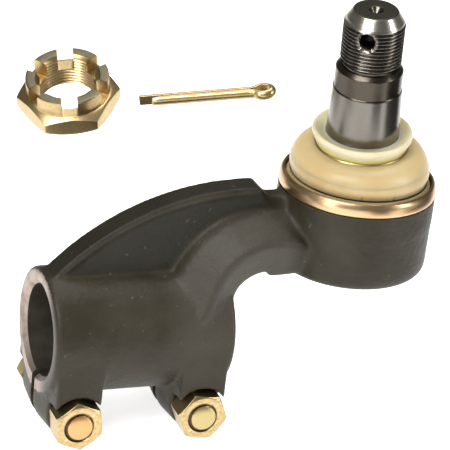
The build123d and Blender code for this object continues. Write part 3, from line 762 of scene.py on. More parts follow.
def round_corners(corners, steps=5):
    """Polyline from (radius, height, rounding) corners, each rounded by its own radius."""
    line = []
    count = len(corners)
    for index, (radius, height, rounding) in enumerate(corners):
        here = Vector((radius, height))
        if rounding <= 0 or index in (0, count - 1):
            line.append((radius, height))
            continue
        before = Vector(corners[index - 1][:2]) - here
        after = Vector(corners[index + 1][:2]) - here
        reach = min(rounding, before.length * 0.49, after.length * 0.49)
        start = here + before.normalized() * reach
        finish = here + after.normalized() * reach
        for step in range(steps + 1):
            share = step / steps
            point = (1 - share) ** 2 * start + 2 * share * (1 - share) * here + share ** 2 * finish
            line.append(tuple(point))
    return line


def subdivided(line, longest):
    """The polyline with extra points, so that no stretch is longer than longest."""
    out = [line[0]]
    for start, finish in zip(line, line[1:]):
        start = Vector(start)
        finish = Vector(finish)
        parts = max(1, int((finish - start).length / longest + 0.999))
        out += [tuple(start.lerp(finish, part / parts)) for part in range(1, parts + 1)]
    return out


def turned(name, profile, steps=144, shift=None, loop=False, place=None, sharp=40.0):
    """Piece turned about Z from (radius, height) points; shift may change a radius by height and angle."""
    columns = []
    for step in range(steps):
        angle = TURN * step / steps
        column = []
        for radius, height in profile:
            reach = radius if shift is None else shift(radius, height, angle)
            column.append((reach * cos(angle), reach * sin(angle), height))
        columns.append(column)
    return skin(name, columns, loop=loop, place=place, sharp=sharp)


def thread_wave(height, angle, pitch):
    """0 at the thread's root, 1 at its crest, for a right-hand thread."""
    share = (height / pitch - angle / TURN) % 1.0
    saw = 1 - abs(2 * share - 1)
    return min(1.0, max(0.0, 1.35 * saw - 0.12))


def hexagon_reach(angle, flats):
    """Distance to a hexagon's side, its flats square to Y."""
    off_flat = (angle - pi / 2 + pi / 6) % (pi / 3) - pi / 6
    return flats / 2 / cos(off_flat)


def settle(piece):
    """Applies the piece's modifiers to its mesh."""
    bpy.context.view_layer.update()
    graph = bpy.context.evaluated_depsgraph_get()
    mesh = bpy.data.meshes.new_from_object(piece.evaluated_get(graph))
    piece.modifiers.clear()
    old = piece.data
    piece.data = mesh
    bpy.data.meshes.remove(old)
    mesh.name = piece.name
    return piece


def soften(piece, rounds, factor=0.5):
    """Rounds a fine mesh's corners."""
    smooth = piece.modifiers.new("soften", "SMOOTH")
    smooth.factor = factor
    smooth.iterations = rounds
    return settle(piece)


def carve(piece, cutters):
    """Cuts the cutters out of the piece and removes them."""
    for cutter in cutters:
        cut = piece.modifiers.new("cut", "BOOLEAN")
        cut.operation = "DIFFERENCE"
        cut.solver = "MANIFOLD"
        cut.object = cutter
    settle(piece)
    for cutter in cutters:
        bpy.data.objects.remove(cutter)
    return piece


def block(name, low, high):
    """Plain box between two corners, for filling or cutting."""
    xs, ys, zs = zip(low, high)
    points = [(x, y, z) for x in xs for y in ys for z in zs]
    faces = [(0, 1, 3, 2), (4, 6, 7, 5), (0, 4, 5, 1), (2, 3, 7, 6), (0, 2, 6, 4), (1, 5, 7, 3)]
    return new_piece(name, points, faces)


def plate(name, outline, low, high):
    """Outline of (x, z) points carried from y = low to y = high, for filling or cutting."""
    count = len(outline)
    points = [(x, y, z) for y in (low, high) for x, z in outline]
    faces = [tuple(range(count)), tuple(range(2 * count - 1, count - 1, -1))]
    for index in range(count):
        after = (index + 1) % count
        faces.append((index, index + count, after + count, after))
    return new_piece(name, points, faces)


def along_x(place):
    """Frame whose Z runs along the row's +X."""
    turn = Matrix(((0, 0, 1), (0, 1, 0), (-1, 0, 0))).to_4x4()
    return Matrix.Translation(Vector(place) * MM) @ turn


def along_y(place):
    """Frame whose Z runs along the row's +Y."""
    return Matrix.Translation(Vector(place) * MM) @ Matrix.Rotation(-pi / 2, 4, "X")


def finished(piece, body, slot, *finishes):
    """Gives a piece its body and its materials; the slot is not used."""
    piece.data.materials.clear()
    for name in finishes:
        piece.data.materials.append(finish_named(name))
    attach(piece, body)
    return piece


# ---- forged body -------------------------------------------------------------------------------


def arch(middle_x, middle_z, radius, bottom, steps=40):
    """Outline of an upright arch: a round top over straight sides."""
    line = [
        (middle_x + radius * cos(pi * step / steps), middle_z + radius * sin(pi * step / steps))
        for step in range(steps + 1)
    ]
    return line + [(middle_x - radius, bottom), (middle_x + radius, bottom)]


def tube_right_end(sizes):
    """The clamp tube's end towards the housing."""
    return box_mm("forged_body")[0].x + mount("tube_clamp")["dims"]["length_mm"] + 2 * sizes.mouth_chamfer


def raw_forging(sizes):
    """The forging before it's machined: holes and slot filled, then a fine skin with soft corners."""
    source = frame["nodes"]["forged_body"]
    raw = bpy.data.objects.new("forged_body_skin", source.data.copy())
    raw.data.transform(source.matrix_world)
    bpy.context.scene.collection.objects.link(raw)
    low = box_mm("forged_body")[0]
    bolts = [box_mm("clamp_bolt_" + side) for side in ("left", "right")]
    tube_end = tube_right_end(sizes)
    plug_radius = TUBE_BORE + 2.4
    plug_end = tube_end - low.x - 0.4
    inner = [(0, 0.4), (plug_radius, 0.4), (plug_radius, plug_end), (0, plug_end)]
    plugs = [turned("plug", inner, 96, place=along_x((low.x, 0, TUBE.z)))]
    slot_top = TUBE.z - TUBE_BORE + 0.5
    plugs.append(block("plug", (low.x + 0.9, -3.2, TUBE.z - 22), (tube_end - 0.9, 3.2, slot_top)))
    bolt_z = (bolts[0][0].z + bolts[0][1].z) / 2
    lug_half = bolt_z - low.z
    for bolt_low, bolt_high in bolts:
        middle = (bolt_low.x + bolt_high.x) / 2
        outline = arch(middle, bolt_z, lug_half - 0.5, bolt_z)[:41]
        outline = [(x, 2 * bolt_z - z) for x, z in outline] + [
            (middle - lug_half + 0.5, TUBE.z), (middle + lug_half - 0.5, TUBE.z)]
        plugs.append(plate("plug", outline, -4.0, 4.0))
        hole_radius = sizes.bolt_hole_radius + 1.5
        hole = [(0, -15.5), (hole_radius, -15.5), (hole_radius, 15.5), (0, 15.5)]
        plugs.append(turned("plug", hole, 48, place=along_y((middle, 0, bolt_z))))
    floor = housing_bottom() + 1.2
    core = [(0, floor), (sizes.neck_radius - 0.4, floor), (sizes.neck_radius - 0.4, 14), (0, 14)]
    plugs.append(turned("plug", core, 96))
    wall = [(0, -12), (sizes.housing_radius, -2), (sizes.housing_radius, 15), (0, 15)]
    plugs.append(turned("plug", wall, 144))
    merge_into(raw, plugs)
    remesh = raw.modifiers.new("skin", "REMESH")
    remesh.mode = "VOXEL"
    remesh.voxel_size = sizes.skin * MM * 1.0
    settle(raw)
    soften(raw, int(sizes.softness / (1.0)))
    return soften_valley(raw, int(sizes.valley_softness / (1.0)))


def distance_to(spot, start, finish):
    """Distance from a spot to the line from start to finish."""
    run = finish - start
    share = min(1.0, max(0.0, (spot - start).dot(run) / run.length_squared))
    return (spot - start.lerp(finish, share)).length


def soften_valley(piece, rounds):
    """Melts the arm's thick lower part into its web, along the line where they meet."""
    line = [Vector(point) for point in VALLEY]
    group = piece.vertex_groups.new(name="valley")
    for vertex in piece.data.vertices:
        spot = Vector((vertex.co.x, vertex.co.z)) / MM
        aside = abs(vertex.co.y) / MM
        if aside < 3.0 or not -95 < spot.x < -26:
            continue
        near = min(distance_to(spot, start, finish) for start, finish in zip(line, line[1:]))
        weight = min(1.0, max(0.0, (9.0 - near) / 5.0))
        if weight > 0:
            group.add([vertex.index], weight, "REPLACE")
    smooth = piece.modifiers.new("valley", "SMOOTH")
    smooth.factor = 0.5
    smooth.iterations = rounds
    smooth.vertex_group = "valley"
    settle(piece)
    piece.vertex_groups.clear()
    return piece


def merge_into(piece, others):
    """Adds the others' meshes to the piece and removes them."""
    work = bmesh.new()
    work.from_mesh(piece.data)
    for other in others:
        copy = other.data.copy()
        copy.transform(other.matrix_world)
        work.from_mesh(copy)
        bpy.data.objects.remove(other)
        bpy.data.meshes.remove(copy)
    work.to_mesh(piece.data)
    work.free()


def housing_cutters(sizes):
    """What is turned out of and off the housing."""
    below = housing_bottom() - 3
    clip_low, clip_high = box_mm("cover_circlip")
    cover_high = box_mm("cover_plate")[1]
    seat_high = box_mm("lower_bearing_seat")[1]
    upper_low, upper_high = box_mm("upper_bearing_seat")
    ring_low = box_mm("boot_retaining_ring")[0]
    gap = 0.1
    cover_bore = cover_high.x + gap
    groove = -clip_low.x + gap
    seat_bore = seat_high.x + gap
    cavity = [
        (0, below), (cover_bore, below), (cover_bore, clip_low.z), (groove, clip_low.z),
        (groove, clip_high.z), (cover_bore, clip_high.z),
        (cover_bore, cover_high.z), (seat_bore, cover_high.z),
        (seat_bore, upper_low.z + 1), (seat_bore - 3, upper_high.z + gap),
        (sizes.throat_radius, upper_high.z + gap), (sizes.throat_radius, upper_high.z + 1),
        (sizes.flare_radius, sizes.neck_top), (sizes.flare_radius, 40), (0, 40),
    ]
    shoulder = [
        (sizes.neck_radius, 45), (sizes.neck_radius, ring_low.z), (sizes.housing_radius + 0.9, ring_low.z),
        (sizes.housing_radius + 1.6, ring_low.z + 1.2), (sizes.housing_radius + 1.6, 45),
    ]
    top = [(0, sizes.neck_top), (sizes.neck_radius + 2, sizes.neck_top), (sizes.neck_radius + 2, 50), (0, 50)]
    return [
        turned("cutter", cavity, 160),
        turned("cutter", shoulder, 160, loop=True),
        turned("cutter", top, 96),
    ]


def clamp_cutters(sizes):
    """Bore, slot, bolt holes and seats of the clamp end."""
    low = box_mm("forged_body")[0]
    tube_end = tube_right_end(sizes)
    mouth = TUBE_BORE + sizes.mouth_chamfer
    span = tube_end - low.x
    bore = [
        (0, -6), (mouth + 6, -6), (TUBE_BORE, sizes.mouth_chamfer), (TUBE_BORE, span - sizes.mouth_chamfer),
        (mouth + 6, span + 6), (0, span + 6),
    ]
    cutters = [turned("cutter", bore, 128, place=along_x((low.x, 0, TUBE.z)))]
    half_slot = sizes.slot_width / 2
    cutters.append(
        block("cutter", (low.x - 5, -half_slot, low.z - 5), (tube_end + 2, half_slot, TUBE.z))
    )
    for side in ("left", "right"):
        bolt_low, bolt_high = box_mm("clamp_bolt_" + side)
        middle = (bolt_low.x + bolt_high.x) / 2
        bolt_z = (bolt_low.z + bolt_high.z) / 2
        hole = [(0, -40), (sizes.bolt_hole_radius, -40), (sizes.bolt_hole_radius, 40), (0, 40)]
        cutters.append(turned("cutter", hole, 64, place=along_y((middle, 0, bolt_z))))
        for near, far in ((-50, -sizes.lug_seat), (sizes.lug_seat, 50)):
            corner = (middle - 13.5, near, low.z - 10)
            cutters.append(block("cutter", corner, (middle + 13.5, far, bolt_z + 6.0)))
        outline = arch(middle, bolt_z, sizes.seat_radius, low.z - 10)
        cutters.append(plate("cutter", outline, -50, -sizes.lug_seat))
        cutters.append(plate("cutter", outline, sizes.lug_seat, 50))
    return cutters


def paint_forging(piece, sizes):
    """Bare steel on the faced tube ends and seats, painted shade in the bore, forging elsewhere."""
    low = box_mm("forged_body")[0]
    tube_end = tube_right_end(sizes)
    mouth = TUBE_BORE + sizes.mouth_chamfer
    for face in piece.data.polygons:
        spot = face.center / MM
        normal = face.normal
        out = sqrt(spot.y ** 2 + (spot.z - TUBE.z) ** 2)
        at_end = min(abs(spot.x - low.x), abs(spot.x - tube_end)) < 0.35 and abs(normal.x) > 0.93
        in_mouth = out < mouth + 0.3 and 0.5 < abs(normal.x) < 0.93 and low.x - 1 < spot.x < tube_end + 1
        in_bore = out < TUBE_BORE + 0.05 and spot.x < tube_end + 1
        on_seat = abs(abs(spot.y) - sizes.lug_seat) < 0.06 and abs(normal.y) > 0.98 and spot.z < TUBE.z - 20
        from_stud = sqrt(spot.x ** 2 + spot.y ** 2)
        turned_in = from_stud < sizes.neck_radius + 0.2 and abs(spot.z) < 26 and (
            spot.z > 9 or normal.z > -0.5 and from_stud < 25.4
        )
        if in_bore:
            face.material_index = 2
        elif (at_end and out < TUBE_BORE + 6.2) or in_mouth or on_seat:
            face.material_index = 1
        elif turned_in:
            face.material_index = 1
        else:
            face.material_index = 0


class TIE_OT_forged_body(bpy.types.Operator):
    """Forged arm with its ball housing, split clamp tube and lugs"""

    bl_idname = "tie_rod_end.forged_body"
    bl_label = "Forged Body"

    def execute(self, context):
        sizes = wanted().body
        piece = raw_forging(sizes)
        carve(piece, housing_cutters(sizes) + clamp_cutters(sizes))
        tidy(piece, 34.0)
        finished(piece, "housing", "forging", "forging", "bare_machined", "oily_bore")
        paint_forging(piece, sizes)
        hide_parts("forged_body")
        return {"FINISHED"}


# ---- stud --------------------------------------------------------------------------------------


def stud_profile(sizes):
    """(radius, height) points from the ball's bottom to the stud's top."""
    ball_top = asin(sizes.neck_radius / sizes.ball_radius)
    arc = [
        (sizes.ball_radius * sin(angle), -sizes.ball_radius * cos(angle))
        for angle in [(pi - ball_top) * step / 48 for step in range(49)]
    ]
    taper_end = sizes.taper_radius - (sizes.taper_top - sizes.taper_start) / sizes.taper_ratio / 2
    band = taper_end - sizes.band_step
    band_top = sizes.taper_top + sizes.band_height
    thread_start = band_top + sizes.band_chamfer + 2.0
    core = THREAD_OUTSIDE - 1.0
    corners = [
        (arc[-1][0], arc[-1][1], 0), (sizes.neck_radius, sizes.neck_top, 3.0),
        (sizes.taper_radius, sizes.taper_start, 1.2), (taper_end, sizes.taper_top, 0.3),
        (band, sizes.taper_top + sizes.band_step, 0.1), (band, band_top - 0.9, 0.1),
        (band, band_top, 0.25), (band - sizes.band_chamfer, band_top + sizes.band_chamfer, 0.2),
        (core, band_top + sizes.band_chamfer, 0.1), (core, thread_start - 1.0, 0.2),
        (THREAD_OUTSIDE, thread_start, 0.1),
    ]
    foot = round_corners(corners, 4)
    thread_top = sizes.top - sizes.top_chamfer
    rows = int((thread_top - thread_start) / sizes.thread_pitch * 10)
    thread_length = thread_top - thread_start
    thread = [(THREAD_OUTSIDE, thread_start + thread_length * row / rows) for row in range(1, rows + 1)]
    head = round_corners([
        (THREAD_OUTSIDE, thread_top, 0), (sizes.top_radius, sizes.top, 0.5), (2.9, sizes.top, 0.3),
        (0.0, sizes.top - 3.6, 0),
    ], 4)
    return arc + foot[1:] + thread + subdivided(head, 0.8)[1:], thread_start, thread_top


class TIE_OT_ball_stud(bpy.types.Operator):
    """Ball stud with its taper, plain band, thread and cross hole"""

    bl_idname = "tie_rod_end.ball_stud"
    bl_label = "Ball Stud"

    def execute(self, context):
        sizes = wanted().stud
        profile, thread_start, thread_top = stud_profile(sizes)

        def cut_thread(radius, height, angle):
            if not thread_start - 0.6 < height < thread_top + 1.2 or radius < THREAD_OUTSIDE - 1.3:
                return radius
            fade = min(1.0, max(0.0, (height - thread_start + 0.6) / 0.8))
            groove = 1 - thread_wave(height, angle, sizes.thread_pitch)
            return min(radius, THREAD_OUTSIDE - sizes.thread_depth * groove * fade)

        piece = turned("ball_stud_steel", profile, 168, cut_thread, sharp=50.0)
        hole_z = sizes.top - sizes.hole_below_top
        hole = sizes.hole_radius
        sink = hole + 1.2
        rim = THREAD_OUTSIDE - 1.3
        drill = [
            (0, -20), (sink + 8, -20), (sink + 8, -rim - 9.2), (hole, -rim),
            (hole, rim), (sink + 8, rim + 9.2), (sink + 8, 20), (0, 20),
        ]
        cutter = turned("cutter", drill, 64, place=along_y((0, 0, hole_z)))
        carve(piece, [cutter])
        tidy(piece, 50.0)
        piece.matrix_world = STUD
        finished(piece, "stud", "oiled_steel", "oiled_steel")
        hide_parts("ball_stud")
        return {"FINISHED"}


# ---- boot and its rings ------------------------------------------------------------------------


def boot_outline(sizes):
    """Outside of the boot from under its ring to its neck, as (radius, height)."""
    neck_end = sizes.lip_bottom - 0.1
    bulge = sizes.bulge_radius
    corners = [
        (bulge + 0.9, 9.6, 0), (bulge + 0.9, 13.6, 0.8), (bulge - 0.9, 15.0, 0.9), (bulge + 0.1, 17.4, 1.6),
        (bulge + 0.1, 20.6, 2.6), (bulge - 1.3, 24.4, 2.4),
        (bulge - 3.4, 26.9, 1.8), (bulge - 6.6, 28.6, 2.2),
        (sizes.neck_radius + 0.6, 29.0, 0.8), (sizes.neck_radius, neck_end, 0),
    ]
    return corners


def lean_share(height, low=13.5, high=28.0):
    """How much of the stud's lean a ring of the boot takes, by its height."""
    share = min(1.0, max(0.0, (height - low) / (high - low)))
    return share * share * (3 - 2 * share)


def leaned(point, share):
    """A point turned about the ball's centre by a share of the stud's lean."""
    up = Vector((0, 0, 1))
    turn = up.rotation_difference(STUD_AXIS)
    return Matrix.Rotation(turn.angle * share, 3, turn.axis) @ Vector(point)


def boot_mark(height, angle):
    """Depth of the two small upright moulding marks low on the boot's side."""
    depth = 0.0
    for middle in BOOT_MARKS:
        turn = (angle - middle + pi) % TURN - pi
        depth += 0.22 * exp(-(turn * 27.6 / 0.6) ** 2) * exp(-((height - BOOT_MARK_HEIGHT) / 1.1) ** 2)
    return depth


def boot_shell(name, rows, sizes):
    """Part of the boot's wall, between two of its rings."""
    columns = []
    steps = 176
    for step in range(steps):
        angle = TURN * step / steps
        outside = []
        inside = []
        for index, (radius, height) in enumerate(rows):
            share = lean_share(height)
            before = rows[max(0, index - 1)]
            after = rows[min(len(rows) - 1, index + 1)]
            run = Vector((after[0] - before[0], after[1] - before[1])).normalized()
            out = radius - boot_mark(height, angle)
            deep = radius - run.y * sizes.wall
            inner_height = height + run.x * sizes.wall
            outside.append(leaned((out * cos(angle), out * sin(angle), height), share))
            inside.append(leaned((deep * cos(angle), deep * sin(angle), inner_height), share))
        columns.append(outside + inside[::-1])
    return skin(name, columns, loop=True, sharp=60.0)


class TIE_OT_dust_boot(bpy.types.Operator):
    """Dust boot in two stretches that meet at its seam"""

    bl_idname = "tie_rod_end.dust_boot"
    bl_label = "Dust Boot"

    def execute(self, context):
        sizes = wanted().boot
        line = subdivided(round_corners(boot_outline(sizes), 8), 0.5)
        split = min(range(len(line)), key=lambda index: abs(line[index][1] - sizes.seam))
        lap = (line[split + 1][0] - 0.03, line[split + 1][1])
        lower = boot_shell("dust_boot_lower", line[: split + 1] + [lap], sizes)
        upper = boot_shell("dust_boot_upper", line[split:], sizes)
        seam = line[split][1]
        share = lean_share(seam)
        for piece, first, second, start, end in (
            (lower, "housing", "boot_middle", sizes.fold_start, seam - 0.3),
            (upper, "boot_middle", "boot_top", seam + 0.6, sizes.lip_bottom - 0.4),
        ):
            piece.data.materials.append(finish_named("boot_rubber"))
            leaned((0, 0, start), share) * MM
            leaned((0, 0, end), share) * MM
            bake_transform(piece)
        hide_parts("dust_boot")
        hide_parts("dust_boot")
        return {"FINISHED"}


class TIE_OT_boot_rings(bpy.types.Operator):
    """Lip ring on the stud and the rolled band that holds the boot down"""

    bl_idname = "tie_rod_end.boot_rings"
    bl_label = "Boot Rings"

    def execute(self, context):
        sizes = wanted().boot
        stud = wanted().stud

        def bore(height):
            return stud.taper_radius - (height - stud.taper_start) / stud.taper_ratio / 2 + 0.08

        bottom = sizes.lip_bottom
        top = sizes.lip_top
        wide = sizes.lip_radius
        foot = sizes.lip_foot_radius
        corners = [
            (bore(bottom), bottom, 0), (foot, bottom, 0.3), (foot + 0.5, bottom + 1.6, 0.6),
            (wide - 0.35, top - 2.6, 0.8), (wide, top - 1.4, 0.5),
            (wide - 0.3, top - 0.25, 0.4), (wide - 1.1, top, 0.4),
            (wide - 2.3, top - 0.7, 0.8), (bore(top) + 1.3, top - 1.5, 0.6), (bore(top), top - 1.2, 0.2),
            (bore(bottom), bottom, 0),
        ]
        profile = subdivided(round_corners(corners, 6), 0.6)[:-1]
        lip = turned("lip_ring_collar", profile, 160, loop=True, place=STUD, sharp=60.0)
        finished(lip, "boot_top", "lip_rubber", "lip_rubber")
        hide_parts("boot_lip_ring")
        low, high = box_mm("boot_retaining_ring")
        outer = high.x
        inner = outer - 1.2
        lip_in = outer - 2.1
        band = [
            (inner, low.z, 0), (outer - 0.45, low.z, 0.25),
            (outer, low.z + 0.7, 0.5), (outer, low.z + 2.4, 1.0),
            (outer - 0.25, high.z - 1.9, 1.0), (outer - 0.95, high.z - 0.5, 0.9), (outer - 1.6, high.z, 0.4),
            (lip_in, high.z - 0.15, 0.1), (lip_in, high.z - 0.6, 0.1), (inner - 0.4, high.z - 1.4, 0.1),
            (inner, high.z - 2.2, 0.2), (inner, low.z, 0),
        ]
        profile = subdivided(round_corners(band, 6), 0.7)[:-1]
        ring = turned("retaining_band", profile, 200, loop=True, sharp=60.0)
        finished(ring, "housing", "ring_zinc", "ring_zinc")
        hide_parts("boot_retaining_ring")
        return {"FINISHED"}


# ---- fasteners ---------------------------------------------------------------------------------


def hex_column(angle, flats, low, high, cut_low, cut_high, steps=5):
    """Side of a hexagon at one angle, with its corners turned off at 30 degrees, from low to high."""
    reach = hexagon_reach(angle, flats)
    flat = flats / 2 * 0.95
    drop = (reach - flat) * tan(pi / 6)
    start = low + drop if cut_low else low
    finish = high - drop if cut_high else high
    foot = (flat if cut_low else reach, low)
    head = (flat if cut_high else reach, high)
    return subdivided_evenly([foot, (reach, start), (reach, finish), head], (steps, 3 * steps, steps))


def subdivided_evenly(line, parts):
    """The polyline with a set number of parts in each stretch, so that columns match."""
    out = [line[0]]
    for (start, finish), count in zip(zip(line, line[1:]), parts):
        for part in range(1, count + 1):
            share = part / count
            out.append((start[0] + (finish[0] - start[0]) * share, start[1] + (finish[1] - start[1]) * share))
    return out


def bolt_mesh(name, sizes, length, place):
    """Hexagon bolt: head from 0 up, shank and thread down from 0, slightly domed end."""
    radius = sizes.bolt_radius
    columns = []
    steps = 144
    thread_start = -length + sizes.bolt_thread
    rows = int(sizes.bolt_thread / sizes.bolt_pitch * 8)
    for step in range(steps):
        angle = TURN * step / steps
        side = hex_column(angle, sizes.bolt_flats, 0.0, sizes.head_height, False, True)
        column = [(0, -length - 0.3), (radius * 0.4, -length - 0.26)]
        column += [(radius - 1.7, -length), (radius - 1.1, -length + 0.35)]
        for row in range(rows + 1):
            height = -length + 0.8 + (sizes.bolt_thread - 0.8) * row / rows
            wave = 1 - thread_wave(height, angle, sizes.bolt_pitch)
            start = min(1.0, (height + length) / 1.3)
            fade = min(1.0, max(0.0, (thread_start - height) / 0.8))
            column.append((min(radius, radius - 1.0 + start) - 0.85 * wave * fade, height))
        column += [(radius, thread_start + 0.6), (radius, -0.6), (radius, 0.0)]
        column += side + [(sizes.bolt_flats / 2 * 0.5, sizes.head_height), (0, sizes.head_height)]
        columns.append([(reach * cos(angle), reach * sin(angle), height) for reach, height in column])
    return skin(name, columns, place=place, sharp=35.0)


def nut_mesh(name, flats, height, core, pitch, depth, place):
    """Hexagon nut with a threaded bore, standing from 0 up."""
    columns = []
    steps = 180
    rows = int(height / pitch * 9)
    mouth = core + depth + 0.35
    for step in range(steps):
        angle = TURN * step / steps
        side = hex_column(angle, flats, 0.0, height, True, True, 4)
        column = [(mouth, 0.0)] + side + [(mouth + 0.5, height), (mouth, height)]
        for row in range(rows + 1):
            level = height - 0.7 - (height - 1.4) * row / rows
            column.append((core + depth * (1 - thread_wave(level, angle, pitch)), level))
        columns.append([(reach * cos(angle), reach * sin(angle), level) for reach, level in column])
    return skin(name, columns, loop=True, place=place, sharp=35.0)


class TIE_OT_clamp_fasteners(bpy.types.Operator):
    """The two clamp bolts and their nuts"""

    bl_idname = "tie_rod_end.clamp_fasteners"
    bl_label = "Clamp Bolts and Nuts"

    def execute(self, context):
        sizes = wanted().fasteners
        seat = wanted().body.lug_seat
        for side, turn in (("left", radians(-22)), ("right", radians(-8))):
            low, high = box_mm("clamp_bolt_" + side)
            middle = ((low.x + high.x) / 2, seat, (low.z + high.z) / 2)
            bolt = bolt_mesh("clamp_bolt_" + side + "_plated", sizes, seat - low.y - 0.3, along_y(middle))
            soften(bolt, 1, 0.3)
            shade(bolt.data, 35.0)
            finished(bolt, "housing", "yellow_zinc", "bolt_end_" + side)
            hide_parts("clamp_bolt_" + side)
            nut_low, nut_high = box_mm("clamp_nut_" + side)
            foot = Matrix.Translation(Vector((middle[0], nut_high.y, middle[2])) * MM)
            place = foot @ Matrix.Rotation(pi / 2, 4, "X")
            nut = nut_mesh(
                "clamp_nut_" + side + "_plated", sizes.bolt_flats, nut_high.y - nut_low.y,
                sizes.bolt_radius - 0.85 + 0.1, sizes.bolt_pitch, 0.85, place,
            )
            nut.data.transform(Matrix.Rotation(turn, 4, "Z"))
            soften(nut, 2, 0.4)
            shade(nut.data, 35.0)
            finished(nut, side + "_nut", "yellow_zinc", "nut_zinc")
            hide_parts("clamp_nut_" + side)
        return {"FINISHED"}


def castle_sector():
    """(share, in_slot) of the columns across one sixth of the nut, from one slot's middle to the next."""
    slot = [(step / 5 * 0.94, True) for step in range(6)] + [(0.985, True), (1.0, True)]
    prong = [(0.0, False), (0.02, False)] + [(0.02 + 0.98 * step / 12, False) for step in range(1, 13)]
    return slot, prong


def castle_angles(sizes, radius):
    """(angle, in_slot) of every column at one radius, the slots' walls running parallel."""
    half = sizes.slot_width / 2
    wall = asin(min(0.99, half / radius))
    slot, prong = castle_sector()
    right = [(asin(share * half / radius), True) for share, inside in slot]
    right += [(wall + (pi / 6 - wall) * share, False) for share, inside in prong]
    sector = [(-angle, inside) for angle, inside in reversed(right[1:])] + right
    angles = []
    for turn in range(6):
        middle = turn * pi / 3 - pi / 2
        angles += [(middle + angle, inside) for angle, inside in sector[:-1]]
    return angles


class TIE_OT_castle_nut(bpy.types.Operator):
    """Slotted nut with six parallel slots and a threaded bore"""

    bl_idname = "tie_rod_end.castle_nut"
    bl_label = "Slotted Nut"

    def execute(self, context):
        sizes = wanted().fasteners
        stud = wanted().stud
        pitch = stud.thread_pitch
        depth = stud.thread_depth
        height = sizes.castle_height
        crown = sizes.castle_crown
        floor = height - sizes.slot_depth
        mouth = CASTLE_CORE + 1.7
        bore_rows = int((height - 2.6) / pitch * 9)
        outside = subdivided([(crown, sizes.castle_hex + 0.5), (crown, height - 1.1)], 0.7)
        rim = round_corners([(crown, height - 1.1, 0), (crown, height, 0.9), (mouth, height, 0.35),
                             (CASTLE_CORE, height - 1.7, 0)], 4)
        upper = outside + subdivided(rim, 0.8)[1:]
        bore = [
            (CASTLE_CORE, height - 1.7 - (height - 2.7) * row / bore_rows) for row in range(1, bore_rows + 1)
        ] + [(CASTLE_CORE + 1.0, 0.0)]
        reference = castle_angles(sizes, crown)
        columns = []
        for index, (reference_angle, inside) in enumerate(reference):
            column = []
            side = hex_column(reference_angle, sizes.castle_flats, 0.0, sizes.castle_hex, True, True, 3)
            side = side + [(crown + 0.45, sizes.castle_hex), (crown + 0.1, sizes.castle_hex + 0.12)]
            for radius, level in side + upper + bore:
                angle = castle_angles_cached(sizes, radius)[index]
                reach = radius
                if level > floor and inside:
                    level = floor
                if radius <= CASTLE_CORE + 0.01 and 0.8 < level < height - 1.6:
                    reach = CASTLE_CORE + depth * (1 - thread_wave(level, angle, pitch))
                column.append((reach * cos(angle), reach * sin(angle), level - height / 2))
            columns.append(column)
        centre = Vector(joint("slotted_nut_turn")["pos_m"]) / MM
        tilt = Matrix.Rotation(radians(17.2), 4, "X") @ Matrix.Rotation(radians(-13.6), 4, "Y")
        place = Matrix.Translation(centre * MM) @ tilt @ Matrix.Rotation(radians(-11.7), 4, "Z")
        piece = skin("castle_nut_plated", columns, loop=True, sharp=38.0)
        soften(piece, 2, 0.4)
        shade(piece.data, 38.0)
        finished(piece, "slotted_nut", "yellow_zinc", "castle_zinc", "worn_zinc")
        for face in piece.data.polygons:
            on_prong = face.center.z > (height / 2 - 0.35) * MM and face.normal.z > 0.8
            face.material_index = 1 if on_prong else 0
        piece.data.transform(place)
        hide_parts("castle_nut")
        return {"FINISHED"}


ANGLES = {}


def castle_angles_cached(sizes, radius):
    """The columns' angles at one radius."""
    key = round(max(radius, CASTLE_CORE), 3)
    if key not in ANGLES:
        ANGLES[key] = [angle for angle, inside in castle_angles(sizes, key)]
    return ANGLES[key]


def pin_path(sizes):
    """Middle of the wire's flat side, from one leg's tip round the eye to the other's, as (x, z)."""
    gap = sizes.pin_gap / 2
    legs = sizes.pin_legs
    long_leg = [(x, -gap) for x in (0.0, 0.5, 1.0, 5.0)]
    long_leg += [(5.0 + (legs - 8.0) * step / 10, -gap) for step in range(1, 11)]
    knots = [
        (legs - 1.6, -gap), (legs + 1.2, -gap - 0.35), (legs + 3.4, -sizes.eye_half_width * 0.93),
        (legs + 5.2, -sizes.eye_half_width), (legs + 6.8, -sizes.eye_half_width * 0.62),
        (legs + sizes.eye_length, 0.0),
    ]
    knots += [(x, -z) for x, z in reversed(knots[:-1])]
    eye = smooth_through([long_leg[-1]] + knots + [(long_leg[-1][0], gap)], 5)
    short_leg = [(x, gap) for x, z in reversed(long_leg[:-1]) if x > sizes.pin_step + 0.6]
    short_leg += [(sizes.pin_step + 0.5, gap), (sizes.pin_step, gap)]
    return long_leg[:-1] + eye + short_leg


def smooth_through(points, parts):
    """Curve through the points, with that many parts between each pair."""
    out = []
    count = len(points)
    for index in range(count - 1):
        a, b, c, d = (Vector(points[min(count - 1, max(0, index + offset))]) for offset in (-1, 0, 1, 2))
        for part in range(parts):
            t = part / parts
            out.append(tuple(0.5 * (2 * b + (c - a) * t + (2 * a - 5 * b + 4 * c - d) * t * t
                                    + (3 * b - 3 * c + d - a) * t ** 3)))
    return out + [tuple(points[-1])]


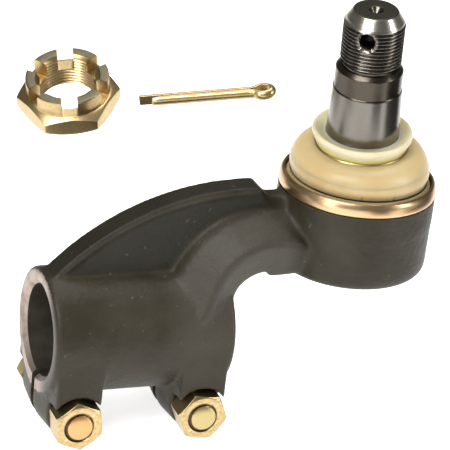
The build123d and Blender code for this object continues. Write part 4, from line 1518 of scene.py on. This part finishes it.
class TIE_OT_split_pin(bpy.types.Operator):
    """Split pin of half-round wire"""

    bl_idname = "tie_rod_end.split_pin"
    bl_label = "Split Pin"

    def execute(self, context):
        sizes = wanted().fasteners
        path = pin_path(sizes)
        radius = sizes.pin_radius
        section = [(-radius * 0.93, 0.0), (-radius * 0.985, 0.16)]
        angles = [pi * step / 18 for step in range(2, 17)]
        section += [(-radius * cos(angle), max(0.3, radius * sin(angle))) for angle in angles]
        section += [(radius * 0.985, 0.16), (radius * 0.93, 0.0), (radius * 0.4, 0.0), (-radius * 0.4, 0.0)]
        columns = []
        count = len(path)
        for index, (x, z) in enumerate(path):
            before = Vector(path[max(0, index - 1)])
            after = Vector(path[min(count - 1, index + 1)])
            run = (after - before).normalized()
            out = Vector((run.y, -run.x))
            tip = 0.86 if index in (0, count - 1) else 1.0
            columns.append([
                (x + out.x * rise * tip, across * tip, z + out.y * rise * tip) for across, rise in section
            ])
        axis = Vector(joint("split_pin_slide")["axis"])
        tip = Vector(mount("split_pin_legs")["pos_m"]) / MM - axis * 25.0
        turn = Matrix.Rotation(radians(-18.8), 4, "Z") @ Matrix.Rotation(radians(-10.4), 4, "Y")
        place = Matrix.Translation(tip * MM) @ turn @ Matrix.Rotation(radians(105.0), 4, "X")
        piece = skin("split_pin_plated", columns, ring=False, loop=True, place=place, sharp=50.0)
        finished(piece, "cotter", "yellow_zinc", "pin_zinc")
        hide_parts("split_pin")
        return {"FINISHED"}


class TIE_OT_inner_pieces(bpy.types.Operator):
    """Finishes of the pieces that keep their CAD shape: seats, spring, cover, seal, circlip and wires"""

    bl_idname = "tie_rod_end.inner_pieces"
    bl_label = "Inner Pieces"

    def execute(self, context):
        finishes = {
            "upper_bearing_seat": "seat_plastic",
            "lower_bearing_seat": "seat_plastic",
            "preload_spring": "spring_steel",
            "cover_plate": "cover_steel",
            "cover_seal_ring": "seal_rubber",
            "cover_circlip": "spring_steel",
            "boot_bead_wire": "spring_steel",
            "boot_neck_wire": "wire_zinc",
        }
        for node, name in finishes.items():
            for slot in frame["nodes"][node].material_slots:
                slot.material = finish_named(name)
        return {"FINISHED"}


# ---- stage -------------------------------------------------------------------------------------


def soft_light(name, place, aim, size, power, tint=(1.0, 1.0, 1.0)):
    """Rectangular soft light of (width, height), facing the aim point."""
    lamp = bpy.data.lights.new(name, "AREA")
    lamp.shape = "RECTANGLE"
    lamp.size, lamp.size_y = size
    lamp.energy = power
    lamp.color = tint
    holder = bpy.data.objects.new(name, lamp)
    bpy.context.scene.collection.objects.link(holder)
    holder.location = place
    holder.rotation_euler = (Vector(aim) - Vector(place)).to_track_quat("-Z", "Y").to_euler()
    return holder


def dark_card(name, sizes, floor_z, start, end):
    """Upright dark card that only reflections see, spanning two angles round the part."""
    corners = []
    for angle in (start, end):
        towards = sizes.azimuth + pi - angle
        corners.append(
            (sizes.aim[0] + sizes.card_reach * sin(towards), sizes.aim[1] + sizes.card_reach * cos(towards)))
    points = [(x / MM, y / MM, z / MM) for x, y in corners for z in (floor_z + 0.001, sizes.card_top)]
    card = new_piece(name, points, [(0, 1, 3, 2)])
    card.data.materials.append(finish_named("dark_card"))
    card.visible_camera = False
    card.visible_diffuse = False
    card.visible_shadow = False


class TIE_OT_stage(bpy.types.Operator):
    """Pale floor, soft lights and the camera"""

    bl_idname = "tie_rod_end.stage"
    bl_label = "Stage"

    def execute(self, context):
        sizes = wanted().stage
        scene = context.scene
        floor_z = cad_box[0][2] - sizes.floor_gap
        reach = sizes.floor_reach
        corners = [(-reach, -reach), (reach, -reach), (reach, reach), (-reach, reach)]
        floor = new_piece("floor", [(x / MM, y / MM, floor_z / MM) for x, y in corners], [(0, 1, 2, 3)])
        floor.data.materials.append(finish_named("pale_floor"))
        aim = Vector(sizes.aim)
        lights = (
            ("key", (-0.75, -0.55, 1.05), (0.8, 0.6), 15.0),
            ("top", (0.15, 0.25, 1.30), (0.9, 0.7), 10.0),
            ("strip_left", (-0.95, -0.55, 0.30), (0.12, 0.9), 4.0),
            ("strip_right", (0.80, -0.60, 0.35), (0.16, 0.9), 5.0),
        )
        for name, place, size, power in lights:
            soft_light(name, place, aim, size, power)
        for name, start, end in (
            ("card_far_left", -125, -95), ("card_left", -62, -36),
            ("card_right", 30, 56), ("card_far_right", 72, 125),
        ):
            dark_card(name, sizes, floor_z, radians(start), radians(end))
        world = bpy.data.worlds.new("studio")
        world.use_nodes = True
        world.node_tree.nodes["Background"].inputs[0].default_value = (0.86, 0.83, 0.78, 1.0)
        world.node_tree.nodes["Background"].inputs[1].default_value = 0.18
        scene.world = world
        scene.view_settings.view_transform = "Standard"
        lens = bpy.data.cameras.new("camera")
        lens.lens = sizes.lens
        lens.sensor_width = 36.0
        lens.clip_end = 4 * sizes.floor_reach
        camera = bpy.data.objects.new("camera", lens)
        scene.collection.objects.link(camera)
        turn = sizes.azimuth
        rise = sizes.elevation
        ahead = Vector((sin(turn) * cos(rise), cos(turn) * cos(rise), -sin(rise)))
        level = Vector((cos(turn), -sin(turn), 0))
        upright = level.cross(ahead)
        right = cos(sizes.roll) * level + sin(sizes.roll) * upright
        up = -sin(sizes.roll) * level + cos(sizes.roll) * upright
        camera.matrix_world = Matrix.Translation(aim - ahead * sizes.distance) @ Matrix(
            (right, up, -ahead)).transposed().to_4x4()
        scene.camera = camera
        return {"FINISHED"}


class TIE_PT_pieces(bpy.types.Panel):
    """Lists the pieces in the 3D view's sidebar"""

    bl_idname = "TIE_PT_pieces"
    bl_label = "Tie Rod End"
    bl_space_type = "VIEW_3D"
    bl_region_type = "UI"
    bl_category = "Tie Rod End"

    def draw(self, context):
        for piece in PIECES:
            self.layout.operator(piece.bl_idname)


SIZE_GROUPS = (BodySizes, StudSizes, BootSizes, FastenerSizes, Colours, StageSizes, TieRodEnd)
PIECES = (
    TIE_OT_forged_body, TIE_OT_ball_stud, TIE_OT_dust_boot, TIE_OT_boot_rings, TIE_OT_clamp_fasteners,
    TIE_OT_castle_nut, TIE_OT_split_pin, TIE_OT_inner_pieces, TIE_OT_stage,
)


def register():
    for kind in (*SIZE_GROUPS, *PIECES, TIE_PT_pieces):
        bpy.utils.register_class(kind)
    bpy.types.Scene.tie_rod_end = bpy.props.PointerProperty(type=TieRodEnd)


def unregister():
    del bpy.types.Scene.tie_rod_end
    for kind in reversed((*SIZE_GROUPS, *PIECES, TIE_PT_pieces)):
        bpy.utils.unregister_class(kind)


def main():
    """Builds every piece and the stage."""
    register()
    for piece in PIECES:
        family, name = piece.bl_idname.split(".")
        getattr(getattr(bpy.ops, family), name)()


if __name__ == "__main__":
    main()
